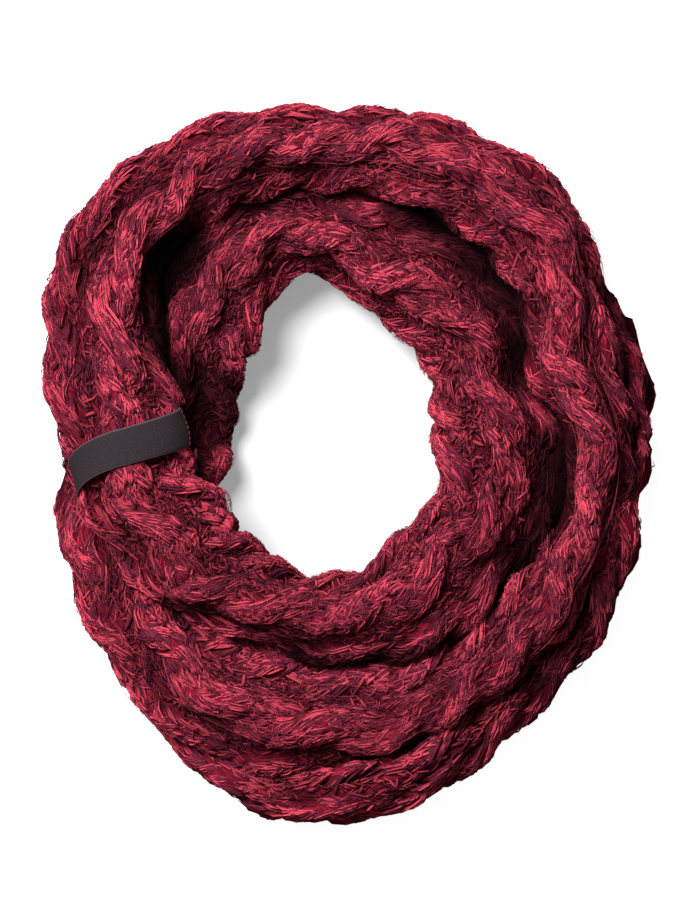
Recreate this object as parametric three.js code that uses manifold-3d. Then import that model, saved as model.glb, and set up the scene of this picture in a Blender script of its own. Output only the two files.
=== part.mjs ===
// Infinity scarf in chunky cable knit, wound twice and laid down on a flat surface.
// Millimetres, +Z up. The origin is on the surface, below the middle of the plan's box.
//
// The scarf is one closed loop of knitted tube. Seen from above it runs clockwise from the
// label at the left, once round outside, under itself at the left, once round inside, and up
// over its own start. Travel along it is an angle called turn, 0 to 720 degrees.

import * as THREE from 'three';
import * as BufferGeometryUtils from 'three/addons/utils/BufferGeometryUtils.js';
import Module from 'manifold-3d';

// Driving sizes of the winding
const WINDING_CENTRE = { x: -7.5, y: 18.49 };  // the point that both turns go round
const FULL_TRAVEL = 720;                     // degrees of travel in the closed loop
const ROW_SPACING = 15;                      // degrees of travel from one table row to the next
const SEAM_GAP = 0.4;                        // left between two pieces that meet
const STEP_ALONG = 8;                        // distance between two rings of points
const FOLD_STEP_ALONG = 10;

// Rounding of a section: 2 is an ellipse, and more is squarer
const TOP_SQUARENESS = 2.25;
const BOTTOM_SQUARENESS = 2.7;
const FOLD_SQUARENESS = 2.3;
const FLATTENING = 4;                        // how far the weight presses the underside flat

// Where the two turns lie side by side, a flank of one slopes down below the steep flank of
// the other, so that a deep valley runs between them
const VALLEY_SQUARENESS = 1.2;
const VALLEY_EASE = 25;                       // degrees in which the slope comes and goes
const INNER_FLANK_VALLEY = { from: 215, to: 335 };
const OUTER_FLANK_VALLEY = { from: 385, to: 600 };

// Points round a section: most lie on the part that shows
const SHOWING_FROM = -38;                    // degrees, 0 is outwards and 90 is up
const SHOWING_TO = 218;
const SHOWING_STEPS = 20;
const RESTING_STEPS = 4;
const FOLD_STEPS = 10;

// Cables of the knit, in columns side by side along the tube
const CABLE = {
  pitch: 42,        // from one column's middle to the next
  length: 78,       // travel in which the two strands of a cable wind once round each other
  sway: 8,          // how far a strand swings to each side
  halfStrand: 8.8,  // half a strand's width
  bulge: 4.0,       // how high a strand's middle stands over its edge
  cross: 2.0,       // how much the upper strand stands over the lower one
  phase: 0.37,      // share of a length by which each column starts later than the last
};
const CABLE_HEIGHT = CABLE.bulge + CABLE.cross;
const CABLE_STRANDS = [0, 0.5];              // share of a winding at which each strand starts
const COLUMN_DRIFT = { reach: 9, waves: 5 }; // the columns wander sideways as the tube twists
const RELIEF_FADE = 1 / 6;                   // share of the showing part in which relief dies out
const FOLD_RIPPLE = 0.08;                    // how much a lower fold swells with the cables
const FOLD_SWELLS = 2;                       // swells in the length of a cable's winding

// Outer turn, a row for each 15 degrees of travel from the label, clockwise:
// inner and outer radius of the roll, and the heights of its underside and top.
// Where the turns lie side by side they overlap by about 6, and the outer one presses
// its form into the inner one.
const OUTER_TURN = [
  { inner: 74, outer: 148, low: 31, high: 78 },
  { inner: 86, outer: 158, low: 26, high: 76 },
  { inner: 104, outer: 172, low: 12, high: 72 },
  { inner: 125, outer: 177, low: 0, high: 68 },
  { inner: 127, outer: 176, low: 0, high: 66 },
  { inner: 126, outer: 172, low: 0, high: 65 },
  { inner: 124, outer: 167, low: 0, high: 66 },
  { inner: 122, outer: 171, low: 0, high: 68 },
  { inner: 121, outer: 172, low: 0, high: 67 },
  { inner: 118, outer: 173, low: 0, high: 66 },
  { inner: 113, outer: 160, low: 0, high: 66 },
  { inner: 103, outer: 153, low: 0, high: 68 },
  { inner: 117, outer: 156, low: 0, high: 67 },
  { inner: 124, outer: 157, low: 0, high: 64 },
  { inner: 122, outer: 158, low: 0, high: 63 },
  { inner: 119, outer: 162, low: 0, high: 63 },
  { inner: 121, outer: 167, low: 0, high: 62 },
  { inner: 119, outer: 174, low: 0, high: 61 },
  { inner: 116, outer: 182, low: 0, high: 60 },
  { inner: 113, outer: 187, low: 0, high: 60 },
  { inner: 116, outer: 180, low: 0, high: 60 },
  { inner: 108, outer: 171, low: 0, high: 55 },
  { inner: 80, outer: 163, low: 0, high: 42 },
  { inner: 54, outer: 156, low: 0, high: 33 },
];

// Inner turn, in the same columns, from where the tube lies below the label
const INNER_TURN = [
  { inner: 55, outer: 138, low: 0, high: 29 },
  { inner: 52, outer: 118, low: 0, high: 30 },
  { inner: 57, outer: 111, low: 0, high: 42 },
  { inner: 58, outer: 131, low: 0, high: 51 },
  { inner: 72, outer: 132, low: 0, high: 55 },
  { inner: 83, outer: 131, low: 0, high: 55 },
  { inner: 77, outer: 129, low: 0, high: 54 },
  { inner: 64, outer: 125, low: 0, high: 56 },
  { inner: 60, outer: 123, low: 0, high: 57 },
  { inner: 57, outer: 120, low: 0, high: 57 },
  { inner: 56, outer: 116, low: 0, high: 56 },
  { inner: 51, outer: 108, low: 0, high: 56 },
  { inner: 48, outer: 119, low: 0, high: 57 },
  { inner: 49, outer: 126, low: 0, high: 58 },
  { inner: 62, outer: 125, low: 0, high: 60 },
  { inner: 62, outer: 123, low: 0, high: 62 },
  { inner: 62, outer: 127, low: 0, high: 64 },
  { inner: 72, outer: 125, low: 0, high: 65 },
  { inner: 75, outer: 122, low: 0, high: 65 },
  { inner: 77, outer: 119, low: 0, high: 66 },
  { inner: 71, outer: 121, low: 4, high: 68 },
  { inner: 70, outer: 130, low: 13, high: 71 },
  { inner: 66, outer: 131, low: 24, high: 75 },
  { inner: 75, outer: 146, low: 30, high: 78 },
];
const SECTIONS = [...OUTER_TURN, ...INNER_TURN];

// Lower edge of the cloth, which shows outside the roll at the right and the bottom
const FOLD_START = 150;
const FOLD_TUCK = 9;                         // how far it reaches under the roll
const FOLD_TAPER = 12;                       // degrees in which its two ends come out from below
const FOLD_SPAN = { from: 148, to: 306 };
const FOLD_END = { reach: 0.1, height: 0.55 }; // shares of its reach and height left at its ends
const FOLD_EDGE = [
  { outer: 163, high: 20 },
  { outer: 167, high: 31 },
  { outer: 165, high: 33 },
  { outer: 165, high: 34 },
  { outer: 173, high: 36 },
  { outer: 176, high: 42 },
  { outer: 183, high: 49 },
  { outer: 196, high: 54 },
  { outer: 204, high: 54 },
  { outer: 200, high: 48 },
  { outer: 183, high: 24 },
];

// Creases along the tube: where each starts and ends, its place across the showing part
// (0 is its outer foot, 1 its inner foot), and its depth and width
const CREASES = [
  { from: 10, to: 98, start: 0.27, end: 0.68, depth: 5.0, width: 15 },
  { from: 105, to: 165, start: 0.30, end: 0.22, depth: 4.0, width: 14 },
  { from: 150, to: 214, start: 0.42, end: 0.30, depth: 3.5, width: 12 },
  { from: 205, to: 262, start: 0.62, end: 0.45, depth: 3.5, width: 13 },
  { from: 240, to: 318, start: 0.30, end: 0.42, depth: 1.3, width: 12 },
  { from: 395, to: 452, start: 0.44, end: 0.60, depth: 3.0, width: 12 },
  { from: 470, to: 528, start: 0.62, end: 0.48, depth: 3.0, width: 12 },
  { from: 540, to: 600, start: 0.40, end: 0.56, depth: 3.5, width: 13 },
  { from: 618, to: 690, start: 0.60, end: 0.46, depth: 3.0, width: 12 },
];

// Stretches of the tube, one for each length that shows between its folds and crossings,
// and the stretches that press their form into it
const STRETCHES = [
  { name: 'left_stretch', from: -45, to: 32, under: [] },
  { name: 'upper_left_stretch', from: 32, to: 90, under: [] },
  { name: 'upper_right_stretch', from: 90, to: 150, under: [] },
  { name: 'right_stretch', from: 150, to: 210, under: [] },
  { name: 'lower_right_stretch', from: 210, to: 265, under: [] },
  { name: 'lower_left_stretch', from: 265, to: 334, under: ['left_stretch', 'rising_stretch'] },
  { name: 'under_left_stretch', from: 334, to: 392, under: ['left_stretch'] },
  { name: 'inner_upper_left_stretch', from: 392, to: 445, under: ['left_stretch', 'upper_left_stretch'] },
  {
    name: 'inner_upper_right_stretch',
    from: 445,
    to: 505,
    under: ['upper_left_stretch', 'upper_right_stretch'],
  },
  { name: 'inner_right_stretch', from: 505, to: 568, under: ['upper_right_stretch', 'right_stretch'] },
  { name: 'inner_bottom_stretch', from: 568, to: 625, under: ['right_stretch', 'lower_right_stretch'] },
  { name: 'rising_stretch', from: 625, to: 675, under: [] },
];
const LOWER_FOLDS = [
  {
    name: 'right_lower_fold',
    from: FOLD_SPAN.from,
    to: 228,
    under: ['upper_right_stretch', 'right_stretch', 'lower_right_stretch'],
  },
  { name: 'bottom_lower_fold', from: 228, to: FOLD_SPAN.to, under: ['lower_right_stretch', 'lower_left_stretch'] },
];

// Woven label strip, laid over the roll at the left
const LABEL = {
  width: 19,
  thickness: 1.0,
  pressed: 1.8,       // it presses the knit this far down
  clear: 0.6,         // and lies this far off it
  edge: 1,            // the knit starts to rise this far beside it
  margin: 7,          // and is up again here
  outerTurn: -9.5,    // travel where it starts down the outer flank
  innerTurn: 1.0,     // travel at its inner end
  outerAngle: 28,     // degrees round the section there
  innerAngle: 168,
  endAngle: 2,        // degrees at its outer end, on the flank
  cinch: 8.5,         // it draws the roll's outer flank in by this much
  cinchReach: 24,     // and the flank comes out again in about this distance
  pressBeyond: 0.2,   // the knit is pressed this share of its length past its ends
  stepsAcross: 5,
  stepsRound: 14,
};

// Colours: the marled yarn as the eye mixes it, and the label's weave
const YARN_COLOUR = 0x7a1c2c;
const YARN_COLOUR_LOW = 0x5c1623;
const LABEL_COLOUR = 0x39323a;

const radians = (degrees) => THREE.MathUtils.degToRad(degrees);
const signedPower = (value, power) => Math.sign(value) * Math.abs(value) ** power;

// A smooth curve through four rows that follow each other, at a share of the middle span
function throughRows(before, start, end, after, share) {
  const slopeStart = (end - before) / 2;
  const slopeEnd = (after - start) / 2;
  const curve = 2 * (start - end) + slopeStart + slopeEnd;
  const bend = 3 * (end - start) - 2 * slopeStart - slopeEnd;
  return ((curve * share + bend) * share + slopeStart) * share + start;
}

// One column of a table at any place; the place counts rows from the first
function readColumn(rows, column, place, closed) {
  const whole = Math.floor(place);
  const row = (index) => {
    const count = rows.length;
    const held = closed ? ((index % count) + count) % count : THREE.MathUtils.clamp(index, 0, count - 1);
    return rows[held][column];
  };
  return throughRows(row(whole - 1), row(whole), row(whole + 1), row(whole + 2), place - whole);
}

// 1 between two places of travel and 0 outside them, eased inwards
function within(turn, span, ease) {
  const entering = THREE.MathUtils.smoothstep(turn, span.from, span.from + ease);
  return entering * (1 - THREE.MathUtils.smoothstep(turn, span.to - ease, span.to));
}

// The roll's section at a place of travel, grown all round by a margin
function sectionAt(turn, margin) {
  const place = turn / ROW_SPACING;
  return {
    innerValley: within(turn, INNER_FLANK_VALLEY, VALLEY_EASE),
    outerValley: within(turn, OUTER_FLANK_VALLEY, VALLEY_EASE),
    inner: readColumn(SECTIONS, 'inner', place, true) - margin,
    outer: readColumn(SECTIONS, 'outer', place, true) + margin,
    low: Math.max(readColumn(SECTIONS, 'low', place, true), 0) - margin,
    high: readColumn(SECTIONS, 'high', place, true) + margin,
  };
}

// A point of the plan: travel gives the direction from the centre, clockwise from the left
function planPoint(turn, radius, height) {
  const direction = radians(180 - turn);
  return new THREE.Vector3(
    WINDING_CENTRE.x + radius * Math.cos(direction),
    WINDING_CENTRE.y + radius * Math.sin(direction),
    height,
  );
}

// A point of a section: a rounded box whose underside is pressed flat, drawn in by inset
function sectionPoint(section, degrees, inset) {
  const halfWidth = (section.outer - section.inner) / 2 - inset;
  const middle = (section.outer + section.inner) / 2;
  const foot = section.low - FLATTENING;
  const centre = (section.high + foot) / 2;
  const halfHeight = (section.high - foot) / 2 - inset;
  const up = Math.sin(radians(degrees));
  const out = Math.cos(radians(degrees));
  const valley = out > 0 ? section.outerValley : section.innerValley;
  const top = THREE.MathUtils.lerp(TOP_SQUARENESS, VALLEY_SQUARENESS, valley);
  const power = 2 / (up > 0 ? top : BOTTOM_SQUARENESS);
  return {
    radius: middle + halfWidth * signedPower(out, power),
    height: Math.max(centre + halfHeight * signedPower(up, power), section.low),
  };
}

// Distance travelled along the middle of the tube, for each degree of turn
function measureTravel() {
  const middleAt = (turn) => {
    const section = sectionAt(turn, 0);
    return planPoint(turn, (section.inner + section.outer) / 2, (section.low + section.high) / 2);
  };
  const travelled = [0];
  for (let turn = 1; turn <= FULL_TRAVEL; turn += 1) {
    travelled.push(travelled[turn - 1] + middleAt(turn).distanceTo(middleAt(turn - 1)));
  }
  return travelled;
}
const TRAVELLED = measureTravel();
const LOOP_LENGTH = TRAVELLED[FULL_TRAVEL];
const CABLES_IN_LOOP = Math.round(LOOP_LENGTH / CABLE.length);

function travelAt(turn) {
  const held = ((turn % FULL_TRAVEL) + FULL_TRAVEL) % FULL_TRAVEL;
  const whole = Math.floor(held);
  const next = Math.min(whole + 1, FULL_TRAVEL);
  return THREE.MathUtils.lerp(TRAVELLED[whole], TRAVELLED[next], held - whole);
}

// Height of the knit over its ground: two strands in each column wind round each other
function cableRelief(turn, across) {
  const wound = (travelAt(turn) / LOOP_LENGTH) * CABLES_IN_LOOP;
  const drift = COLUMN_DRIFT.reach * Math.sin((COLUMN_DRIFT.waves * turn * 2 * Math.PI) / FULL_TRAVEL);
  const column = Math.round((across - drift) / CABLE.pitch);
  const offset = across - drift - column * CABLE.pitch;
  let relief = 0;
  for (const strand of CABLE_STRANDS) {
    const angle = 2 * Math.PI * (wound + column * CABLE.phase + strand);
    const from = (offset - CABLE.sway * Math.cos(angle)) / CABLE.halfStrand;
    if (Math.abs(from) < 1) {
      relief = Math.max(relief, CABLE.cross * Math.sin(angle) + CABLE.bulge * Math.sqrt(1 - from * from));
    }
  }
  return relief;
}

// Depth of the creases at a place of travel and a share across the showing part
function creaseDepth(turn, share, showingLength) {
  const held = ((turn % FULL_TRAVEL) + FULL_TRAVEL) % FULL_TRAVEL;
  let depth = 0;
  for (const crease of CREASES) {
    const along = (held - crease.from) / (crease.to - crease.from);
    if (along > 0 && along < 1) {
      const middle = THREE.MathUtils.lerp(crease.start, crease.end, along);
      const aside = ((share - middle) * showingLength) / (crease.width / 2);
      depth += crease.depth * Math.sin(Math.PI * along) * Math.exp(-aside * aside);
    }
  }
  return depth;
}

// Travel at the middle of the label strip, at an angle round the section
function labelTurn(degrees) {
  const share = (degrees - LABEL.outerAngle) / (LABEL.innerAngle - LABEL.outerAngle);
  const held = THREE.MathUtils.clamp(share, -LABEL.pressBeyond, 1 + LABEL.pressBeyond);
  return THREE.MathUtils.lerp(LABEL.outerTurn, LABEL.innerTurn, held);
}

// How fully the label presses the knit down: 1 below it, 0 away from it
function labelPress(turn, degrees, radius) {
  const aside = Math.abs(radians(turn - labelTurn(degrees))) * radius - LABEL.width / 2;
  return 1 - THREE.MathUtils.smoothstep(aside, LABEL.edge, LABEL.margin);
}

// How far the label draws the roll's outer flank in
function labelCinch(turn, degrees, radius) {
  const aside = (radians(turn - labelTurn(degrees)) * radius) / LABEL.cinchReach;
  return LABEL.cinch * Math.exp(-aside * aside) * Math.max(Math.cos(radians(degrees)), 0);
}

// A ring of points round the tube. Relief fades out towards the part that rests.
// With a margin it is the plain outer form, grown by that much, which shapes what it presses on.
function ringAt(turn, margin) {
  const section = sectionAt(turn, margin);
  const showing = [];
  for (let step = 0; step <= SHOWING_STEPS; step += 1) {
    const share = step / SHOWING_STEPS;
    const degrees = THREE.MathUtils.lerp(SHOWING_FROM, SHOWING_TO, share);
    showing.push({ degrees, share, ...sectionPoint(section, degrees, 0) });
  }
  const lengths = [0];
  for (let step = 1; step <= SHOWING_STEPS; step += 1) {
    const here = showing[step];
    const last = showing[step - 1];
    lengths.push(lengths[step - 1] + Math.hypot(here.radius - last.radius, here.height - last.height));
  }
  const whole = lengths[SHOWING_STEPS];
  const points = showing.map((place, step) => {
    const fade = Math.min(1, Math.min(place.share, 1 - place.share) / RELIEF_FADE);
    const ground = CABLE_HEIGHT + creaseDepth(turn, place.share, whole);
    const knit = fade * (ground - cableRelief(turn, lengths[step] - whole / 2));
    const press = labelPress(turn, place.degrees, place.radius);
    const inset = margin > 0 ? 0 : THREE.MathUtils.lerp(knit, LABEL.pressed, press);
    const cinch = labelCinch(turn, place.degrees, place.radius);
    const drawn = sectionPoint(section, place.degrees, inset + cinch);
    return planPoint(turn, drawn.radius, drawn.height);
  });
  for (let step = 1; step < RESTING_STEPS; step += 1) {
    const degrees = THREE.MathUtils.lerp(SHOWING_TO, 360 + SHOWING_FROM, step / RESTING_STEPS);
    const plain = sectionPoint(section, degrees, 0);
    const drawn = sectionPoint(section, degrees, labelCinch(turn, degrees, plain.radius));
    points.push(planPoint(turn, drawn.radius, drawn.height));
  }
  return points;
}

// A ring of points round the lower fold: flat below, rounded above, its inner edge under the roll
function foldRingAt(turn) {
  const place = (turn - FOLD_START) / ROW_SPACING;
  const roll = sectionAt(turn, 0).outer;
  const inner = roll - FOLD_TUCK;
  const out = within(turn, FOLD_SPAN, FOLD_TAPER);
  const shown = THREE.MathUtils.lerp(FOLD_END.reach, 1, out);
  const outer = THREE.MathUtils.lerp(roll, readColumn(FOLD_EDGE, 'outer', place, false), shown);
  const high = readColumn(FOLD_EDGE, 'high', place, false) * THREE.MathUtils.lerp(FOLD_END.height, 1, out);
  const halfWidth = (outer - inner) / 2;
  const points = [];
  for (let step = 0; step <= FOLD_STEPS; step += 1) {
    const degrees = (180 * step) / FOLD_STEPS;
    const across = signedPower(Math.cos(radians(degrees)), 2 / FOLD_SQUARENESS);
    const up = Math.abs(Math.sin(radians(degrees))) ** (2 / FOLD_SQUARENESS);
    const swell = FOLD_RIPPLE * Math.cos((2 * Math.PI * FOLD_SWELLS * travelAt(turn)) / CABLE.length);
    const size = 1 - swell * Math.sin(Math.PI * up);
    points.push(planPoint(turn, inner + halfWidth * (1 + across * size), high * up * size));
  }
  return points;
}

// A closed solid from rings that follow each other, with a fan over each end
function solidFromRings(rings) {
  const count = rings[0].length;
  const positions = rings.flat().flatMap((point) => [point.x, point.y, point.z]);
  const indices = [];
  for (let ring = 0; ring + 1 < rings.length; ring += 1) {
    for (let point = 0; point < count; point += 1) {
      const next = (point + 1) % count;
      const a = ring * count + point;
      const b = ring * count + next;
      const c = (ring + 1) * count + next;
      const d = (ring + 1) * count + point;
      indices.push(a, b, d, b, c, d);
    }
  }
  const ends = [{ ring: 0, turned: false }, { ring: rings.length - 1, turned: true }];
  for (const end of ends) {
    const middle = rings[end.ring].reduce((sum, point) => sum.add(point), new THREE.Vector3());
    middle.divideScalar(count);
    const centre = positions.length / 3;
    positions.push(middle.x, middle.y, middle.z);
    for (let point = 0; point < count; point += 1) {
      const a = end.ring * count + point;
      const b = end.ring * count + ((point + 1) % count);
      indices.push(...(end.turned ? [centre, a, b] : [centre, b, a]));
    }
  }
  const geometry = new THREE.BufferGeometry();
  geometry.setAttribute('position', new THREE.Float32BufferAttribute(positions, 3));
  geometry.setIndex(indices);
  return geometry;
}

// Rings from one place of travel to another, with half a seam's gap left at each end
function ringsBetween(from, to, spacing, ringMaker) {
  const length = travelAt(to) - travelAt(from) + (to > 0 && from < 0 ? LOOP_LENGTH : 0);
  const steps = Math.max(2, Math.round(length / spacing));
  const trim = ((SEAM_GAP / 2) * (to - from)) / length;
  const rings = [];
  for (let step = 0; step <= steps; step += 1) {
    rings.push(ringMaker(THREE.MathUtils.lerp(from + trim, to - trim, step / steps)));
  }
  return rings;
}

function stretchGeometry(stretch, margin) {
  return solidFromRings(ringsBetween(stretch.from, stretch.to, STEP_ALONG, (turn) => ringAt(turn, margin)));
}

// The strip follows the knit below it: an outer and an inner sheet, joined at the edges
function labelGeometry() {
  const below = LABEL.pressed - LABEL.clear;
  const rings = [];
  for (let step = 0; step <= LABEL.stepsRound; step += 1) {
    const degrees = THREE.MathUtils.lerp(LABEL.endAngle, LABEL.innerAngle, step / LABEL.stepsRound);
    const middle = sectionPoint(sectionAt(labelTurn(degrees), 0), degrees, below);
    const place = (inset, aside) => {
      const turn = labelTurn(degrees) + THREE.MathUtils.radToDeg((aside * LABEL.width) / middle.radius);
      const cinch = labelCinch(turn, degrees, middle.radius);
      const drawn = sectionPoint(sectionAt(turn, 0), degrees, inset + cinch);
      return planPoint(turn, drawn.radius, drawn.height);
    };
    const ring = [];
    for (let across = 0; across <= LABEL.stepsAcross; across += 1) {
      ring.push(place(below, across / LABEL.stepsAcross - 0.5));
    }
    for (let across = LABEL.stepsAcross; across >= 0; across -= 1) {
      ring.push(place(below - LABEL.thickness, across / LABEL.stepsAcross - 0.5));
    }
    rings.push(ring);
  }
  return solidFromRings(rings);
}

// Cutting needs plain vertices, each one shared by the faces that meet there
const wasm = await Module();
wasm.setup();

function toSolid(geometry) {
  const merged = BufferGeometryUtils.mergeVertices(geometry, 1e-4);
  return new wasm.Manifold(new wasm.Mesh({
    numProp: 3,
    vertProperties: new Float32Array(merged.getAttribute('position').array),
    triVerts: new Uint32Array(merged.getIndex().array),
  }));
}

function fromSolid(solid) {
  const mesh = solid.getMesh();
  const geometry = new THREE.BufferGeometry();
  geometry.setAttribute('position', new THREE.BufferAttribute(new Float32Array(mesh.vertProperties), 3));
  geometry.setIndex(new THREE.BufferAttribute(new Uint32Array(mesh.triVerts), 1));
  return geometry;
}

function yarnMaterial(colour) {
  return new THREE.MeshStandardMaterial({ color: colour, roughness: 0.95, metalness: 0 });
}

function namedMesh(name, geometry, material) {
  geometry.computeVertexNormals();
  const mesh = new THREE.Mesh(geometry, material);
  mesh.name = name;
  return mesh;
}

const scarf = new THREE.Group();

// Where two lengths meet, the upper or outer one presses its own form into the other
function pressedBy(geometry, names) {
  const upper = STRETCHES.filter((stretch) => names.includes(stretch.name));
  const solids = upper.map((stretch) => toSolid(stretchGeometry(stretch, SEAM_GAP)));
  return fromSolid(solids.reduce((solid, other) => solid.subtract(other), toSolid(geometry)));
}

for (const stretch of STRETCHES) {
  const geometry = pressedBy(stretchGeometry(stretch, 0), stretch.under);
  scarf.add(namedMesh(stretch.name, geometry, yarnMaterial(YARN_COLOUR)));
}

for (const fold of LOWER_FOLDS) {
  const rings = ringsBetween(fold.from, fold.to, FOLD_STEP_ALONG, foldRingAt);
  const geometry = pressedBy(solidFromRings(rings), fold.under);
  scarf.add(namedMesh(fold.name, geometry, yarnMaterial(YARN_COLOUR_LOW)));
}

const labelMaterial = new THREE.MeshStandardMaterial({ color: LABEL_COLOUR, roughness: 0.8, metalness: 0 });
scarf.add(namedMesh('label_band', labelGeometry(), labelMaterial));

export default scarf;
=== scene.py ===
"""Looks of the infinity scarf: chunky cable knit in brushed, marled yarn, wound twice.

The tube of cloth is a surface worked out from rows of radii and heights round the winding.
On it lie the stitches: each leg is a core with slender threads over it, set in wales that wind
round each other as cables, with purl bumps, threads and loose fibres between and over them.
Lengths in the tables are millimetres, and every mesh is in metres.
"""

from __future__ import annotations

import logging
from dataclasses import dataclass
from enum import Enum
from itertools import product

import bpy
import numpy as np
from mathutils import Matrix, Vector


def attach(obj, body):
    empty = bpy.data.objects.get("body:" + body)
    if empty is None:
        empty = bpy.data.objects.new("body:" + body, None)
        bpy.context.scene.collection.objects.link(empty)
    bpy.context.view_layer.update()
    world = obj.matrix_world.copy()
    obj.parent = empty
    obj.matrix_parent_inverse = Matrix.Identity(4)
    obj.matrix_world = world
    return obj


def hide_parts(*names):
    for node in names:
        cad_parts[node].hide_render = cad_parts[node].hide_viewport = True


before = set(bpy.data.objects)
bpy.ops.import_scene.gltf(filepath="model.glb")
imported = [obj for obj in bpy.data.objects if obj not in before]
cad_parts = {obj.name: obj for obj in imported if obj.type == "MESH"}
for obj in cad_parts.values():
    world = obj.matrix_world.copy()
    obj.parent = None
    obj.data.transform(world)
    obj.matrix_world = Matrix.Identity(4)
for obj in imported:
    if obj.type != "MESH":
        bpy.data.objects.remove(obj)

LOG = logging.getLogger("scarf")
MM = 0.001
BODY = "root"
SEED = 4730

# Length of a course of stitches along the tube, how far apart two threads' streaks are
# read from the pattern, and the points round a slender thread and round a thicker one
COURSE = 6.9
FAR_APART = 500.0
THREAD_SIDES = 3
CORE_SIDES = 4

# Short names for the types that the code below uses most
Array = np.ndarray
Random = np.random.Generator
Socket = bpy.types.NodeSocket
Material = bpy.types.Material
Colour = tuple[int, int, int]
Pair = tuple[float, float]
Triple = tuple[float, float, float]
Rgba = tuple[float, float, float, float]

# Outer turn of the winding, a row for each 15 degrees of travel, clockwise from the label:
# inner radius, outer radius, height of the underside, height of the top
OUTER_TURN = (
    (74, 148, 31, 78),
    (86, 158, 26, 76),
    (104, 172, 12, 72),
    (125, 177, 0, 68),
    (127, 176, 0, 66),
    (126, 172, 0, 65),
    (124, 167, 0, 66),
    (122, 171, 0, 68),
    (121, 172, 0, 67),
    (118, 173, 0, 66),
    (113, 160, 0, 66),
    (103, 153, 0, 68),
    (117, 156, 0, 67),
    (124, 157, 0, 64),
    (122, 158, 0, 63),
    (119, 162, 0, 63),
    (121, 167, 0, 62),
    (119, 174, 0, 61),
    (116, 182, 0, 60),
    (113, 187, 0, 60),
    (116, 180, 0, 60),
    (108, 171, 0, 55),
    (80, 163, 0, 42),
    (54, 156, 0, 33),
)

# Inner turn, in the same columns, from where the tube lies below the label
INNER_TURN = (
    (55, 138, 0, 29),
    (52, 118, 0, 30),
    (57, 111, 0, 42),
    (58, 131, 0, 51),
    (72, 132, 0, 55),
    (83, 131, 0, 55),
    (77, 129, 0, 54),
    (64, 125, 0, 56),
    (60, 123, 0, 57),
    (57, 120, 0, 57),
    (56, 116, 0, 56),
    (51, 108, 0, 56),
    (48, 119, 0, 57),
    (49, 126, 0, 58),
    (62, 125, 0, 60),
    (62, 123, 0, 62),
    (62, 127, 0, 64),
    (72, 125, 0, 65),
    (75, 122, 0, 65),
    (77, 119, 0, 66),
    (71, 121, 4, 68),
    (70, 130, 13, 71),
    (66, 131, 24, 75),
    (75, 146, 30, 78),
)

# Lower edge of the cloth outside the roll, a row for each 15 degrees from FOLD_START:
# outer radius and height
FOLD_START = 150.0
FOLD_EDGE = (
    (163, 20),
    (167, 31),
    (165, 33),
    (165, 34),
    (173, 36),
    (176, 42),
    (183, 49),
    (196, 54),
    (204, 54),
    (200, 48),
    (183, 24),
)

# Creases along the tube: travel at the start and end, share across the showing part at the
# start and end (0 is the outer foot), depth and width
CREASES = (
    (10, 98, 0.27, 0.68, 5.0, 15),
    (105, 165, 0.30, 0.22, 4.0, 14),
    (150, 214, 0.42, 0.30, 3.5, 12),
    (205, 262, 0.62, 0.45, 3.5, 13),
    (240, 318, 0.30, 0.42, 1.3, 12),
    (395, 452, 0.44, 0.60, 3.0, 12),
    (470, 528, 0.62, 0.48, 3.0, 12),
    (540, 600, 0.40, 0.56, 3.5, 13),
    (618, 690, 0.60, 0.46, 3.0, 12),
)

# Stretches of the tube: node and the travel where it starts and ends
STRETCHES = (
    ("left_stretch", -45, 32),
    ("upper_left_stretch", 32, 90),
    ("upper_right_stretch", 90, 150),
    ("right_stretch", 150, 210),
    ("lower_right_stretch", 210, 265),
    ("lower_left_stretch", 265, 334),
    ("under_left_stretch", 334, 392),
    ("inner_upper_left_stretch", 392, 445),
    ("inner_upper_right_stretch", 445, 505),
    ("inner_right_stretch", 505, 568),
    ("inner_bottom_stretch", 568, 625),
    ("rising_stretch", 625, 675),
)
LOWER_FOLDS = (
    ("right_lower_fold", 148, 228),
    ("bottom_lower_fold", 228, 306),
)


class Slot(Enum):
    """Material slots of the record."""

    KNIT = "marled_knit"
    LABEL = "woven_label"


class Leg(Enum):
    """The two sides of a stitch, as the sign of its distance from the wale's middle."""

    LEFT = -1
    RIGHT = 1


def signed_power(value: Array, power: Array | float) -> Array:
    """The value's size raised to a power, with its sign kept."""
    return np.sign(value) * np.abs(value) ** power


def blank(*grids: Array) -> Array:
    """Zeros in the shape that the grids have together."""
    return np.zeros(np.broadcast(*grids).shape)


def arch(share: Array, start: float, reach: float, power: float, tip: float = 0.03) -> Array:
    """An arch over a share from 0 to 1: a sine raised to a power.

    Args:
        share: Place along the arch.
        start: Place on the half wave where the share is 0.
        reach: How much of the half wave the share runs over.
        power: Below 1 for a fuller arch.
        tip: How near the half wave's ends the arch may come.

    Returns:
        The arch's height, 1 at its highest.
    """
    return np.sin(np.pi * np.clip(start + reach * share, tip, 1.0 - tip)) ** power


def unit(vectors: Array) -> Array:
    """Vectors of length one along the last axis."""
    return vectors / np.maximum(np.linalg.norm(vectors, axis=-1, keepdims=True), 1e-12)


def smooth_step(value: Array, low: float, high: float) -> Array:
    """0 below low, 1 above high, and an eased rise between them."""
    share = np.clip((value - low) / (high - low), 0.0, 1.0)
    return share * share * (3.0 - 2.0 * share)


def within(turn: Array, start: float, end: float, ease: float) -> Array:
    """1 between two places of travel and 0 outside them, eased inwards."""
    return smooth_step(turn, start, start + ease) * (1.0 - smooth_step(turn, end - ease, end))


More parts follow.
